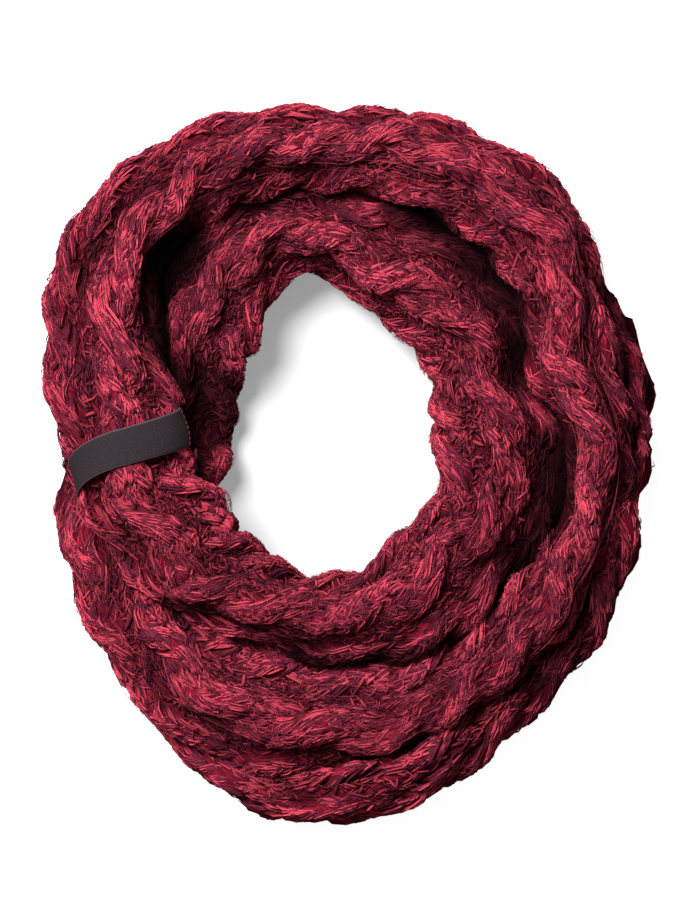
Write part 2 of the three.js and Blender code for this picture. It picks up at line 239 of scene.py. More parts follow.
def read_rows(values: Array, place: Array, closed: bool) -> Array:
    """A smooth curve through rows, as a cubic whose slope at a row joins its neighbours.

    Args:
        values: One number for each row.
        place: Where to read, counted in rows from the first.
        closed: Whether the last row is followed by the first.

    Returns:
        The curve's value at each place.
    """
    whole = np.floor(place).astype(int)
    share = place - whole
    steps = [whole + step for step in (-1, 0, 1, 2)]
    count = len(values)
    held = [step % count if closed else np.clip(step, 0, count - 1) for step in steps]
    before, start, end, after = (values[step] for step in held)
    slope_start = (end - before) / 2
    slope_end = (after - start) / 2
    curve = 2 * (start - end) + slope_start + slope_end
    bend = 3 * (end - start) - 2 * slope_start - slope_end
    return ((curve * share + bend) * share + slope_start) * share + start


@dataclass(frozen=True)
class Winding:
    """The course of the tube round the winding's middle, as travel in degrees, 0 to 720."""

    centre_x: float = -7.5
    centre_y: float = 18.49
    full_travel: float = 720.0
    row_spacing: float = 15.0

    def column(self, index: int, turn: Array) -> Array:
        """One column of the two turns' rows, at each place of travel."""
        values = np.array(OUTER_TURN + INNER_TURN, float)[:, index]
        return read_rows(values, turn / self.row_spacing, True)

    def section(self, turn: Array) -> tuple[Array, ...]:
        """Inner radius, outer radius, underside and top of the roll."""
        inner, outer, low, high = (self.column(index, turn) for index in range(4))
        return inner, outer, np.maximum(low, 0.0), high

    def plan(self, turn: Array, radius: Array, height: Array) -> Array:
        """Points in millimetres: travel is the direction, clockwise from the left."""
        direction = np.radians(180.0 - turn)
        x = self.centre_x + radius * np.cos(direction)
        y = self.centre_y + radius * np.sin(direction)
        return np.stack(np.broadcast_arrays(x, y, height), axis=-1)

    def signed(self, turn: Array) -> Array:
        """Travel counted both ways from the label, by up to half the winding."""
        return np.where(turn > self.full_travel / 2, turn - self.full_travel, turn)

    def travelled(self) -> Array:
        """Length along the tube's middle at each whole degree of travel."""
        turn = np.arange(self.full_travel + 1)
        inner, outer, low, high = self.section(turn)
        middle = self.plan(turn, (inner + outer) / 2, (low + high) / 2)
        steps = np.linalg.norm(np.diff(middle, axis=0), axis=1)
        return np.concatenate([[0.0], np.cumsum(steps)])


WINDING = Winding()
TRAVELLED = WINDING.travelled()
LOOP_LENGTH = float(TRAVELLED[-1])


def length_at(turn: Array) -> Array:
    """Length along the tube at a place of travel, which may be before the start."""
    loops = np.floor(turn / WINDING.full_travel)
    held = turn - loops * WINDING.full_travel
    return np.interp(held, np.arange(len(TRAVELLED)), TRAVELLED) + loops * LOOP_LENGTH


def turn_at(length: Array) -> Array:
    """Travel at a length along the tube, which may be before the start."""
    loops = np.floor(length / LOOP_LENGTH)
    held = length - loops * LOOP_LENGTH
    return np.interp(held, TRAVELLED, np.arange(len(TRAVELLED))) + loops * WINDING.full_travel


@dataclass(frozen=True)
class Cables:
    """Columns of cables side by side. In each, two strands wind round each other."""

    pitch: float = 42.0
    length: float = 78.0
    sway: float = 8.0
    half_strand: float = 8.8
    bulge: float = 6.0
    cross: float = 3.8
    strands: Pair = (0.0, 0.5)
    columns_aside: int = 3
    phase: float = 0.37
    drift_reach: float = 9.0
    drift_waves: float = 5.0
    wander_reach: float = 2.6
    wander_length: float = 96.0
    unevenness: float = 0.09
    flow_reach: float = 4.6
    flow_length: float = 57.0
    flow_step: float = 0.31
    flow_beat: float = 0.37
    bright_share: float = 0.42
    patch_reach: float = 0.28
    patch_length: float = 28.0
    patch_steps: Pair = (0.41, 0.23)
    patch_beat: float = 0.43
    slack_steps: Pair = (0.39, 0.23)

    @property
    def height(self) -> float:
        """Height of the highest strand over the ground."""
        return self.bulge + self.cross

    def drift(self, turn: Array) -> Array:
        """How far the columns have wandered sideways as the tube twists."""
        angle = self.drift_waves * turn * 2 * np.pi / WINDING.full_travel
        wander = np.sin(length_at(turn) * 2 * np.pi / self.wander_length)
        return self.drift_reach * np.sin(angle) + self.wander_reach * wander

    def flow(self, turn: Array, column: Array) -> Array:
        """How far the legs lean aside over their length, in slow waves along each column."""
        wave = length_at(turn) / self.flow_length + self.flow_step * column
        beat = np.cos(2 * np.pi * self.flow_beat * wave)
        return self.flow_reach * np.sin(2 * np.pi * wave) * beat

    def patch(self, length: Array, column: Array, wale: int) -> Array:
        """Share of bright threads at a place: the marl's two colours come and go in patches."""
        by_column, by_wale = self.patch_steps
        wave = length / self.patch_length + by_column * column + by_wale * wale
        slow = np.sin(2 * np.pi * wave) * np.cos(2 * np.pi * self.patch_beat * wave + column)
        return self.bright_share + self.patch_reach * slow

    def angle(self, turn: Array, column: Array, strand: float) -> Array:
        """How far a strand has wound round its partner."""
        in_loop = round(LOOP_LENGTH / self.length)
        wound = length_at(turn) / LOOP_LENGTH * in_loop
        along, aside = self.slack_steps
        slack = self.unevenness * np.sin(2 * np.pi * (wound * along + column * aside))
        return 2 * np.pi * (wound + column * self.phase + strand + slack)

    def relief(self, turn: Array, across: Array) -> Array:
        """Height over the ground: the higher of two rounded strands, or the ground.

        Args:
            turn: Travel.
            across: Distance from the tube's crest, outwards negative.

        Returns:
            The height, from 0 to the height of the cables.
        """
        column = np.round((across - self.drift(turn)) / self.pitch)
        offset = across - self.drift(turn) - column * self.pitch
        relief = blank(turn, across)
        for strand in self.strands:
            angle = self.angle(turn, column, strand)
            aside = (offset - self.sway * np.cos(angle)) / self.half_strand
            dome = np.sqrt(np.maximum(1.0 - aside * aside, 0.0))
            height = self.cross * np.sin(angle) + self.bulge * dome
            relief = np.maximum(relief, np.where(np.abs(aside) < 1, height, 0.0))
        return relief


CABLES = Cables()


@dataclass(frozen=True)
class LabelPlace:
    """Where the woven strip lies over the left roll, and how it presses the knit."""

    width: float = 19.0
    pressed: float = 2.2
    pressed_beside: Pair = (1.0, 7.0)
    covered_beside: Pair = (-2.0, 0.5)
    covered_beyond: float = 1.0
    outer_turn: float = -9.5
    inner_turn: float = 1.0
    outer_angle: float = 28.0
    inner_angle: float = 168.0
    beyond: float = 0.2
    end_angle: float = 2.0
    cinch_depth: float = 8.5
    cinch_reach: float = 24.0

    def turn(self, degrees: Array) -> Array:
        """Travel at the strip's middle, at an angle round the section."""
        share = (degrees - self.outer_angle) / (self.inner_angle - self.outer_angle)
        held = np.clip(share, -self.beyond, 1.0 + self.beyond)
        return self.outer_turn + (self.inner_turn - self.outer_turn) * held

    def aside(self, turn: Array, degrees: Array, radius: Array) -> Array:
        """Distance beyond the strip's edge, negative below the strip."""
        return np.abs(np.radians(turn - self.turn(degrees))) * radius - self.width / 2

    def cinch(self, turn: Array, degrees: Array, radius: Array) -> Array:
        """How far the strip draws the roll's outer flank in, easing out beside it."""
        held = WINDING.signed(turn) - self.turn(degrees)
        aside = np.radians(held) * radius / self.cinch_reach
        flank = np.maximum(np.cos(np.radians(degrees)), 0.0)
        return self.cinch_depth * np.exp(-aside * aside) * flank

    def press(self, turn: Array, degrees: Array, radius: Array) -> Array:
        """How fully the strip presses the knit down: 1 below it, 0 away from it."""
        return 1.0 - smooth_step(self.aside(turn, degrees, radius), *self.pressed_beside)

    def covers(self, turn: Array, degrees: Array, radius: Array) -> Array:
        """1 well below the strip, where the cloth lies up against it, easing to 0 at its edges."""
        above_end = degrees > self.end_angle - self.covered_beyond
        inside = above_end & (degrees < self.inner_angle + self.covered_beyond)
        return inside * (1.0 - smooth_step(self.aside(turn, degrees, radius), *self.covered_beside))


LABEL_PLACE = LabelPlace()


class Ground:
    """A surface of travel and distance across it, with its map from share to angle.

    The share runs from the outer foot, 0, to the inner foot, 1, at an even pace along the
    section's outline.
    """

    first_angle: float = -38.0
    last_angle: float = 218.0
    columns: int = 121
    fine: int = 193
    foot_share: float = 1 / 6
    sink: float = 0.78
    # Painted shade: how fast it deepens below the cables' crest, and in a crease
    light_depth: float = 11.0
    crease_light_depth: float = 6.0
    normal_steps: Pair = (0.5, 0.7)
    held_shares: Pair = (0.015, 0.985)
    inside_grid: float = 1.001

    def __init__(self, first_turn: int, last_turn: int) -> None:
        """Measures the section's outline at each whole degree of travel."""
        self.first_turn = first_turn
        turns = np.arange(first_turn, last_turn + 1, dtype=float)[:, None]
        angles = np.linspace(self.first_angle, self.last_angle, self.fine)[None, :]
        radius, height = self.outline(turns, angles, np.zeros((1, 1)))
        steps = np.hypot(np.diff(radius, axis=1), np.diff(height, axis=1))
        lengths = np.concatenate([np.zeros((len(turns), 1)), np.cumsum(steps, axis=1)], axis=1)
        self.girths = lengths[:, -1]
        shares = np.linspace(0.0, 1.0, self.columns)
        rows = [np.interp(shares * row[-1], row, angles[0]) for row in lengths]
        self.angles = np.array(rows)

    def outline(
        self, turn: Array, degrees: Array, inset: Array
    ) -> tuple[Array, Array]:
        """Radius and height of the section's outline, drawn in by inset."""
        raise NotImplementedError

    def girth(self, turn: Array) -> Array:
        """Length of the outline's showing part."""
        return np.interp(turn, self.first_turn + np.arange(len(self.girths)), self.girths)

    def share(self, turn: Array, across: Array) -> Array:
        """Share of the showing part at a distance across from the crest."""
        return across / self.girth(turn) + 0.5

    def degrees(self, turn: Array, share: Array) -> Array:
        """Angle round the section at a share of the showing part, read between grid points."""
        row = np.clip(turn - self.first_turn, 0, len(self.girths) - self.inside_grid)
        column = np.clip(share, 0.0, 1.0) * (self.columns - self.inside_grid)
        r0, c0 = np.floor(row).astype(int), np.floor(column).astype(int)
        fr, fc = row - r0, column - c0
        top = self.angles[r0, c0] * (1 - fc) + self.angles[r0, c0 + 1] * fc
        bottom = self.angles[r0 + 1, c0] * (1 - fc) + self.angles[r0 + 1, c0 + 1] * fc
        return top * (1 - fr) + bottom * fr

    def place(self, turn: Array, across: Array, lift: Array) -> Array:
        """Points at a distance across from the crest, lifted off the outline."""
        degrees = self.degrees(turn, self.share(turn, across))
        radius, height = self.outline(turn, degrees, -lift)
        return WINDING.plan(turn, radius, height)

    def normal(self, turn: Array, across: Array) -> Array:
        """Directions straight out of the surface, from the slopes along and across it."""
        flat = blank(turn, across)
        ahead, out = self.normal_steps
        along = self.place(turn + ahead, across, flat) - self.place(turn - ahead, across, flat)
        aside = self.place(turn, across + out, flat) - self.place(turn, across - out, flat)
        return unit(np.cross(aside, along))

    def lay(self, turn: Array, across: Array, lift: Array, room: float) -> tuple[Array, Array]:
        """Points of what lies on the ground, pressed down by the label, and normals there."""
        held = self.under_label(turn, self.share(turn, across), lift, room, False)
        return self.place(turn, across, held), self.normal(turn, across)

    def holds(self, turn: Array, share: Array) -> Array:
        """Whether a stitch at a place of travel and a share across has ground below it."""
        least, most = self.held_shares
        return (share > least) & (share < most)

    def sunk(self, turn: Array, share: Array) -> Array:
        """How far the cables' foot lies below the outline: part of their height, and creases."""
        return self.sink * CABLES.height + self.creases(turn, share)

    def light(self, turn: Array, share: Array, depth: Array) -> Array:
        """Painted shade: less light the deeper below the cables' crest, and less in a crease."""
        creased = self.creases(turn, share) / self.crease_light_depth
        return np.exp(-np.maximum(depth, 0.0) / self.light_depth - creased)

    def under_label(
        self, turn: Array, share: Array, lift: Array, height: float, fills: bool
    ) -> Array:
        """The lift of something as high as height, which only the tube's label presses down."""
        return lift

    def creases(self, turn: Array, share: Array) -> Array:
        """Depth of the creases: a trough that fades in and out along its length."""
        held = np.mod(turn, WINDING.full_travel)
        depth = blank(turn, share)
        for start, end, share_start, share_end, deep, width in CREASES:
            along = (held - start) / (end - start)
            middle = share_start + (share_end - share_start) * along
            aside = (share - middle) * self.girth(turn) / (width / 2)
            wave = np.sin(np.pi * np.clip(along, 0.0, 1.0))
            depth = depth + deep * wave * np.exp(-aside * aside)
        return depth


class TubeGround(Ground):
    """The bunched tube: a rounded box section whose underside is pressed flat."""

    top_squareness: float = 2.25
    bottom_squareness: float = 2.7
    valley_squareness: float = 1.2
    valley_ease: float = 25.0
    # Painted shade on each flank in the valley between the turns: travel at the start and end, and how
    # far below the top it begins
    outer_flank_shade: tuple[Triple, ...] = (
        (148.0, 198.0, 15.0),
        (374.0, 420.0, 4.0),
        (424.0, 454.0, 15.0),
        (458.0, 532.0, 9.0),
        (536.0, 590.0, 12.0),
        (594.0, 648.0, 10.0),
    )
    inner_flank_shade: tuple[Triple, ...] = (
        (16.0, 58.0, 7.0),
        (62.0, 98.0, 24.0),
        (102.0, 162.0, 20.0),
        (166.0, 335.0, 24.0),
    )
    shade_ease: float = 9.0
    valley_light_depth: float = 4.2
    # Painted shade below the label's roll: its travel, ease and strength
    below_label: Pair = (342.0, 396.0)
    below_label_ease: float = 14.0
    below_label_painted_shade: float = 0.86
    inner_flank_valley: Pair = (215.0, 335.0)
    outer_flank_valley: Pair = (385.0, 600.0)
    flattening: float = 4.0

    def power(self, turn: Array, out: Array, up: Array) -> Array:
        """How square the section is: least on a flank that faces the other turn."""
        inner = within(turn, *self.inner_flank_valley, self.valley_ease)
        outer = within(turn, *self.outer_flank_valley, self.valley_ease)
        valley = np.where(out > 0, outer, inner)
        top = self.top_squareness + (self.valley_squareness - self.top_squareness) * valley
        return np.where(up > 0, top, self.bottom_squareness)

    def outline(
        self, turn: Array, degrees: Array, inset: Array
    ) -> tuple[Array, Array]:
        """Radius and height of the roll's outline, drawn in by inset."""
        inner, outer, low, high = WINDING.section(turn)
        foot = low - self.flattening
        up = np.sin(np.radians(degrees))
        out = np.cos(np.radians(degrees))
        power = 2.0 / self.power(turn, out, up)
        plain = (inner + outer) / 2 + (outer - inner) / 2 * signed_power(out, power)
        inset = inset + LABEL_PLACE.cinch(turn, degrees, plain)
        radius = (inner + outer) / 2 + ((outer - inner) / 2 - inset) * signed_power(out, power)
        height = (high + foot) / 2 + ((high - foot) / 2 - inset) * signed_power(up, power)
        return radius, np.maximum(height, low)

    def light(self, turn: Array, share: Array, depth: Array) -> Array:
        """Painted shade as for any ground, more deep between the two turns and below the label's roll.
        """
        degrees = self.degrees(turn, share)
        height = self.outline(turn, degrees, np.zeros_like(turn))[1]
        faces_out = np.cos(np.radians(degrees)) > 0
        fall = WINDING.section(turn)[3] - height
        light = super().light(turn, share, depth)
        sides = ((self.outer_flank_shade, faces_out), (self.inner_flank_shade, ~faces_out))
        for spans, side in sides:
            for start, end, brim in spans:
                held = side * within(turn, start, end, self.shade_ease)
                sunk = np.maximum(fall - brim, 0.0)
                light = light * np.exp(-held * sunk / self.valley_light_depth)
        # Painted shade below the label's roll
        below = within(turn, *self.below_label, self.below_label_ease)
        return light * (1.0 - self.below_label_painted_shade * below)

    def under_label(
        self, turn: Array, share: Array, lift: Array, height: float, fills: bool
    ) -> Array:
        """The lift, held low enough below the label strip for something as high as height.

        What fills is also raised, so that it lies against the strip from below.
        """
        degrees = self.degrees(turn, share)
        radius = self.outline(turn, degrees, np.zeros_like(turn))[0]
        signed = WINDING.signed(turn)
        press = LABEL_PLACE.press(signed, degrees, radius)
        below = -LABEL_PLACE.pressed - height
        held = lift + (np.minimum(lift, below) - lift) * press
        if not fills:
            return held
        return held + (below - held) * LABEL_PLACE.covers(signed, degrees, radius)

    def inside(self, turn: Array, points: Array, depth: float) -> Array:
        """Whether points lie inside the roll at a place of travel, by at least a depth."""
        inner, outer, low, high = WINDING.section(turn)
        away = points[..., :2] - np.array([WINDING.centre_x, WINDING.centre_y])
        radius = np.linalg.norm(away, axis=-1)
        foot = low - self.flattening
        aside = (radius - (inner + outer) / 2) / np.maximum((outer - inner) / 2 - depth, 1.0)
        up = (points[..., 2] - (high + foot) / 2) / np.maximum((high - foot) / 2 - depth, 1.0)
        power = self.power(turn, aside, up)
        filled = np.abs(aside) ** power + np.abs(up) ** power < 1.0
        return filled & (points[..., 2] > low)


class FoldGround(Ground):
    """The lower layer of cloth outside the roll: flat below and rounded above."""

    first_angle: float = 4.0
    last_angle: float = 150.0
    foot_share: float = 0.0001
    sink: float = 0.35
    squareness: float = 2.3
    taper: float = 12.0
    span: Pair = (148.0, 306.0)
    clear_ends: float = 4.0
    end_reach: float = 0.1
    end_height: float = 0.55
    tuck: float = 9.0
    # Painted shade where the roll above leans over the fold: travel spans, ease and strength
    painted_shade_spans: tuple[Pair, ...] = ((146.0, 170.0), (206.0, 238.0))
    painted_shade_ease: float = 7.0
    painted_shade_share: float = 0.5
    held_shares: Pair = (0.05, 0.985)

    def outline(
        self, turn: Array, degrees: Array, inset: Array
    ) -> tuple[Array, Array]:
        """Radius and height of the fold's outline, drawn in by inset."""
        place = (turn - FOLD_START) / WINDING.row_spacing
        rows = np.array(FOLD_EDGE, float)
        out = within(turn, *self.span, self.taper)
        shown = self.end_reach + (1.0 - self.end_reach) * out
        roll = WINDING.section(turn)[1]
        outer = roll + (read_rows(rows[:, 0], place, False) - roll) * shown
        high = read_rows(rows[:, 1], place, False)
        high = high * (self.end_height + (1.0 - self.end_height) * out)
        inner = roll - self.tuck
        half_width = (outer - inner) / 2
        aside = signed_power(np.cos(np.radians(degrees)), 2 / self.squareness)
        up = np.abs(np.sin(np.radians(degrees))) ** (2 / self.squareness)
        radius = inner + half_width + np.maximum(half_width - inset, 1.0) * aside
        return radius, np.maximum(high - inset, 1.0) * up

    def light(self, turn: Array, share: Array, depth: Array) -> Array:
        """Painted shade as for any ground, and more where the roll above leans over the fold."""
        spans = [within(turn, start, end, self.painted_shade_ease) for start, end in self.painted_shade_spans]
        return super().light(turn, share, depth) * (1.0 - self.painted_shade_share * sum(spans))

    def holds(self, turn: Array, share: Array) -> Array:
        """As for any ground, and not at the fold's two ends, where it runs out."""
        start, end = self.span
        inside = (turn > start + self.clear_ends) & (turn < end - self.clear_ends)
        return inside & super().holds(turn, share)


TUBE = TubeGround(first_turn=-60, last_turn=720)


class MeshParts:
    """Points, faces and point attributes gathered for one joined mesh."""

    def __init__(self) -> None:
        """Starts with nothing."""
        self.blocks: list[tuple[Array, ...]] = []
        self.count = 0

    def add(
        self, points: Array, quads: Array, triangles: Array, fibre: Array, tone: Array, shade: Array
    ) -> None:
        """Adds points in millimetres, with faces that count from their own first point."""
        faces = (quads + self.count, triangles + self.count)
        self.blocks.append((points, *faces, fibre, tone, shade))
        self.count += len(points)

    def add_rings(self, grid: Array, caps: list[Array], fibre: Array, tone: float, shade: Array) -> None:
        """Adds a grid of closed rings in millimetres, with faces that close its ends."""
        self.add(
            grid.reshape(-1, 3),
            np.concatenate([ring_quads(*grid.shape[:2]), *caps]),
            np.zeros((0, 3), int),
            fibre.reshape(-1, 3),
            np.full(grid[..., 0].size, tone),
            shade.ravel(),
        )

    def build(self, name: str, material: Material, slot: Slot) -> bpy.types.Object:
        """Makes the joined mesh.

        Args:
            name: Name of the piece.
            material: Its finish.
            slot: The record's slot that the finish stands for; not used.

        Returns:
            The piece, which rides on the part's body.
        """
        points, quads, triangles, fibres, tones, shades = (
            np.concatenate(rows) for rows in zip(*self.blocks)
        )
        mesh = bpy.data.meshes.new(name)
        mesh.vertices.add(len(points))
        mesh.vertices.foreach_set("co", (points * MM).astype(np.float32).ravel())
        corners = np.concatenate([quads.ravel(), triangles.ravel()]).astype(np.int32)
        mesh.loops.add(len(corners))
        mesh.loops.foreach_set("vertex_index", corners)
        sizes = np.concatenate([np.full(len(quads), 4), np.full(len(triangles), 3)])
        starts = np.concatenate([[0], np.cumsum(sizes)[:-1]]).astype(np.int32)
        mesh.polygons.add(len(sizes))
        mesh.polygons.foreach_set("loop_start", starts)
        mesh.polygons.foreach_set("use_smooth", np.ones(len(sizes), bool))
        mesh.update(calc_edges=True)
        layer = mesh.attributes.new("fibre", "FLOAT_VECTOR", "POINT")
        layer.data.foreach_set("vector", fibres.astype(np.float32).ravel())
        for attribute, values in (("tone", tones), ("shade", shades)):
            layer = mesh.attributes.new(attribute, "FLOAT", "POINT")
            layer.data.foreach_set("value", values.astype(np.float32))
        mesh.materials.append(material)
        piece = bpy.data.objects.new(name, mesh)
        bpy.context.scene.collection.objects.link(piece)
        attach(piece, BODY)
        return piece


def ring_quads(rings: int, count: int) -> Array:
    """Four-sided faces between closed rings, each of count points, one after another."""
    here = np.arange(count)
    ahead = (here + 1) % count
    base = np.arange(rings - 1)[:, None] * count
    quads = [base + here, base + ahead, base + count + ahead, base + count + here]
    return np.stack(quads, axis=-1).reshape(-1, 4)


def ringed(values: Array, sides: int) -> Array:
    """Each step's value given to all points of its ring, with one point at each tip."""
    rings = np.repeat(values[:, 1:-1], sides, axis=1)
    return np.concatenate([values[:, :1], rings, values[:, -1:]], axis=1)


def loft_petals(
    parts: MeshParts,
    path: Array,
    normal: Array,
    half_width: Array,
    half_height: Array,
    sides: int,
    tone: Array,
    shade: Array,
    random: Random,
) -> None:
    """Closed slender forms along paths: rings of points between two tips.

    Each ring is an ellipse across the path, as wide as half_width and as high as
    half_height, standing on the surface's normal.

    Args:
        parts: Where the forms are gathered.
        path: Points along each form, shape (forms, steps, 3), in millimetres.
        normal: Directions out of the surface, in the same shape.
        half_width: Half the width at each step.
        half_height: Half the height at each step.
        sides: Points in a ring.
        tone: One number for each form, which its colour follows.
        shade: Painted light at each step, from 0, in full painted shade, to 1.
        random: Source of the offsets that make each form's streaks its own.
    """
    forms, steps, _ = path.shape
    tangent = unit(np.gradient(path, axis=1))
    side = unit(np.cross(normal, tangent))
    up = np.cross(tangent, side)
    angles = 2 * np.pi * np.arange(sides) / sides
    width = half_width[..., 1:-1, None] * np.cos(angles)
    height = half_height[..., 1:-1, None] * np.sin(angles)
    width = np.broadcast_to(width, (forms, steps - 2, sides))
    height = np.broadcast_to(height, (forms, steps - 2, sides))
    middle = path[:, 1:-1, None, :]
    rings = middle + side[:, 1:-1, None] * width[..., None] + up[:, 1:-1, None] * height[..., None]
    points = np.concatenate([path[:, :1], rings.reshape(forms, -1, 3), path[:, -1:]], axis=1)

    spans = np.linalg.norm(np.diff(path, axis=1), axis=2)
    along = np.concatenate([np.zeros((forms, 1)), np.cumsum(spans, axis=1)], axis=1)
    flat = np.zeros((forms, 1))
    fibre = np.stack(
        [
            ringed(along, sides),
            np.concatenate([flat, width.reshape(forms, -1), flat], axis=1),
            np.concatenate([flat, height.reshape(forms, -1), flat], axis=1),
        ],
        axis=-1,
    )
    fibre = fibre + random.uniform(0.0, FAR_APART, (forms, 1, 3))

    per_form = 2 + (steps - 2) * sides
    here = np.arange(sides)
    ahead = (here + 1) % sides
    quads = ring_quads(steps - 2, sides) + 1
    last = 1 + (steps - 3) * sides
    start = np.stack([np.zeros(sides, int), ahead + 1, here + 1], axis=-1)
    end = np.stack([np.full(sides, per_form - 1), last + here, last + ahead], axis=-1)
    triangles = np.concatenate([start, end])
    shift = (np.arange(forms) * per_form)[:, None, None]
    parts.add(
        points.reshape(-1, 3),
        (quads[None] + shift).reshape(-1, 4),
        (triangles[None] + shift).reshape(-1, 3),
        fibre.reshape(-1, 3),
        np.repeat(tone, per_form),
        ringed(shade, sides).ravel(),
    )


def bend_with_floor(path: Array, clearance: float) -> Array:
    """The same path, held at least a clearance above the surface that the scarf lies on."""
    held = path.copy()
    held[..., 2] = np.maximum(held[..., 2], clearance)
    return held


def along_path(values: Array, place: Array) -> Array:
    """Values between the steps of a path: straight between two steps, and on past the ends.

    Args:
        values: One number or vector for each step of each form.
        place: Where to read on each form, 0 at its first step and 1 at its last.

    Returns:
        The values there.
    """
    steps = place * (values.shape[1] - 1)
    whole = np.clip(np.floor(steps), 0, values.shape[1] - 2).astype(int)
    rows = np.arange(len(values))[:, None]
    part = steps - whole
    if values.ndim == 3:
        part = part[..., None]
    return values[rows, whole] * (1.0 - part) + values[rows, whole + 1] * part


@dataclass(frozen=True)
class Hiding:
    """Which places of one ground are buried in the tube's other turn or in the roll."""

    in_roll: bool
    depth: float = 3.0

    def at(self, points: Array, turn: Array) -> Array:
        """Whether each point, in millimetres and at its place of travel, can't be seen."""
        other = np.mod(turn + WINDING.full_travel / 2, WINDING.full_travel)
        buried = TUBE.inside(other, points, self.depth)
        if self.in_roll:
            buried = buried | TUBE.inside(turn, points, self.depth)
        return buried


@dataclass(frozen=True)
class Bed:
    """A length of one ground, with what the threads that lie on it share.

    The ground runs from start to end in travel. Hidden tells which threads are buried in
    another length of the tube. The threads are gathered in parts, and random is the source
    of their unevenness.
    """

    ground: Ground
    start: float
    end: float
    hidden: Hiding
    parts: MeshParts
    random: Random

    @property
    def lengths(self) -> Array:
        """Lengths along the tube at the start and at the end."""
        return length_at(np.array([self.start, self.end], float))

    def courses(self) -> Array:
        """Lengths along the tube at the middle of each course of stitches."""
        first, last = self.lengths
        count = max(2, round((last - first) / COURSE))
        return first + (np.arange(count) + 0.5) * (last - first) / count

    def shows(self, points: Array, turn: Array, share: Array) -> Array:
        """Whether something at each place has ground below it and isn't buried."""
        return self.ground.holds(turn, share) & ~self.hidden.at(points, turn)


@dataclass(frozen=True)
class Thread:
    """The slender threads that a stitch's leg is spun of, fanned over its core."""

    count: int = 6
    fan: float = 1.3
    place_spread: float = 0.2
    twist: Pair = (0.9, 0.4)
    steps: tuple[float, ...] = (0.0, 0.3, 0.68, 1.0)
    starts: Pair = (-0.12, 0.24)
    ends: Pair = (0.78, 1.16)
    half_width: float = 0.52
    half_height: float = 0.48
    sizes: Pair = (0.6, 1.25)
    gather: float = 0.4
    swelling: Triple = (0.06, 0.88, 0.55)
    reaches: Pair = (0.84, 1.2)
    end_sink: float = 0.5
    tip_shade: float = 0.3
    shades: Pair = (0.8, 1.1)
    bright_tone: float = 1.05
    middle_tone: float = 0.52
    middle_share: float = 0.34
    tone_spread: float = 0.14

    @property
    def tip_fade(self) -> Array:
        """Painted shade along a thread: less light at its two tips, which sink below the others."""
        return np.array([[self.tip_shade, 1.0, 1.0, self.tip_shade]])

    def tones(self, bright_share: Array, random: Random) -> Array:
        """A tone for each thread: bright, dark, or between them."""
        choice = random.uniform(0.0, 1.0, len(bright_share))
        middle = np.where(choice < bright_share + self.middle_share, self.middle_tone, 0.0)
        plain = np.where(choice < bright_share, self.bright_tone, middle)
        return plain + random.normal(0.0, self.tone_spread, len(bright_share))

    def add(
        self, bed: Bed, path: Array, normal: Array, core: Pair, shade: Array, bright_share: Array
    ) -> None:
        """Adds the threads over each leg, which gather at the leg's two ends.

        Args:
            bed: The length of ground that the legs lie on.
            path: The legs' paths.
            normal: Normals along them.
            core: Half the width and half the height of the legs' cores.
            shade: The painted light at each step of the legs.
            bright_share: Share of each leg's threads that are bright.
        """
        random = bed.random
        each = (len(path), 1)
        side = unit(np.cross(normal, unit(np.gradient(path, axis=1))))
        leg_twist = random.normal(*self.twist, each)
        for place in np.linspace(-self.fan, self.fan, self.count):
            start = random.uniform(*self.starts, each)
            end = random.uniform(*self.ends, each)
            share = start + (end - start) * np.array([self.steps])
            bulge = arch(share, *self.swelling)
            turned = place + random.normal(0.0, self.place_spread, each) + leg_twist * (share - 0.5)
            swell = self.gather + (1.0 - self.gather) * bulge
            reach = swell * random.uniform(*self.reaches, each)
            aside = core[0] * np.sin(turned) * reach
            rise = core[1] * np.cos(turned) * reach - self.end_sink * (1.0 - bulge)
            up = along_path(normal, share)
            lifted = along_path(path, share)
            lifted = lifted + along_path(side, share) * aside[..., None] + up * rise[..., None]
            size = random.uniform(*self.sizes, each) * np.ones((1, len(self.steps)))
            tone = self.tones(bright_share, random)
            # Painted shade: the leg's painted light, dimmer at the thread's tips
            lit = along_path(shade, np.clip(share, 0.0, 1.0)) * self.tip_fade
            lit = lit * random.uniform(*self.shades, each)
            held = bend_with_floor(lifted, self.half_height)
            width, height = self.half_width * size, self.half_height * size
            loft_petals(bed.parts, held, up, width, height, THREAD_SIDES, tone, lit, random)


THREAD = Thread()


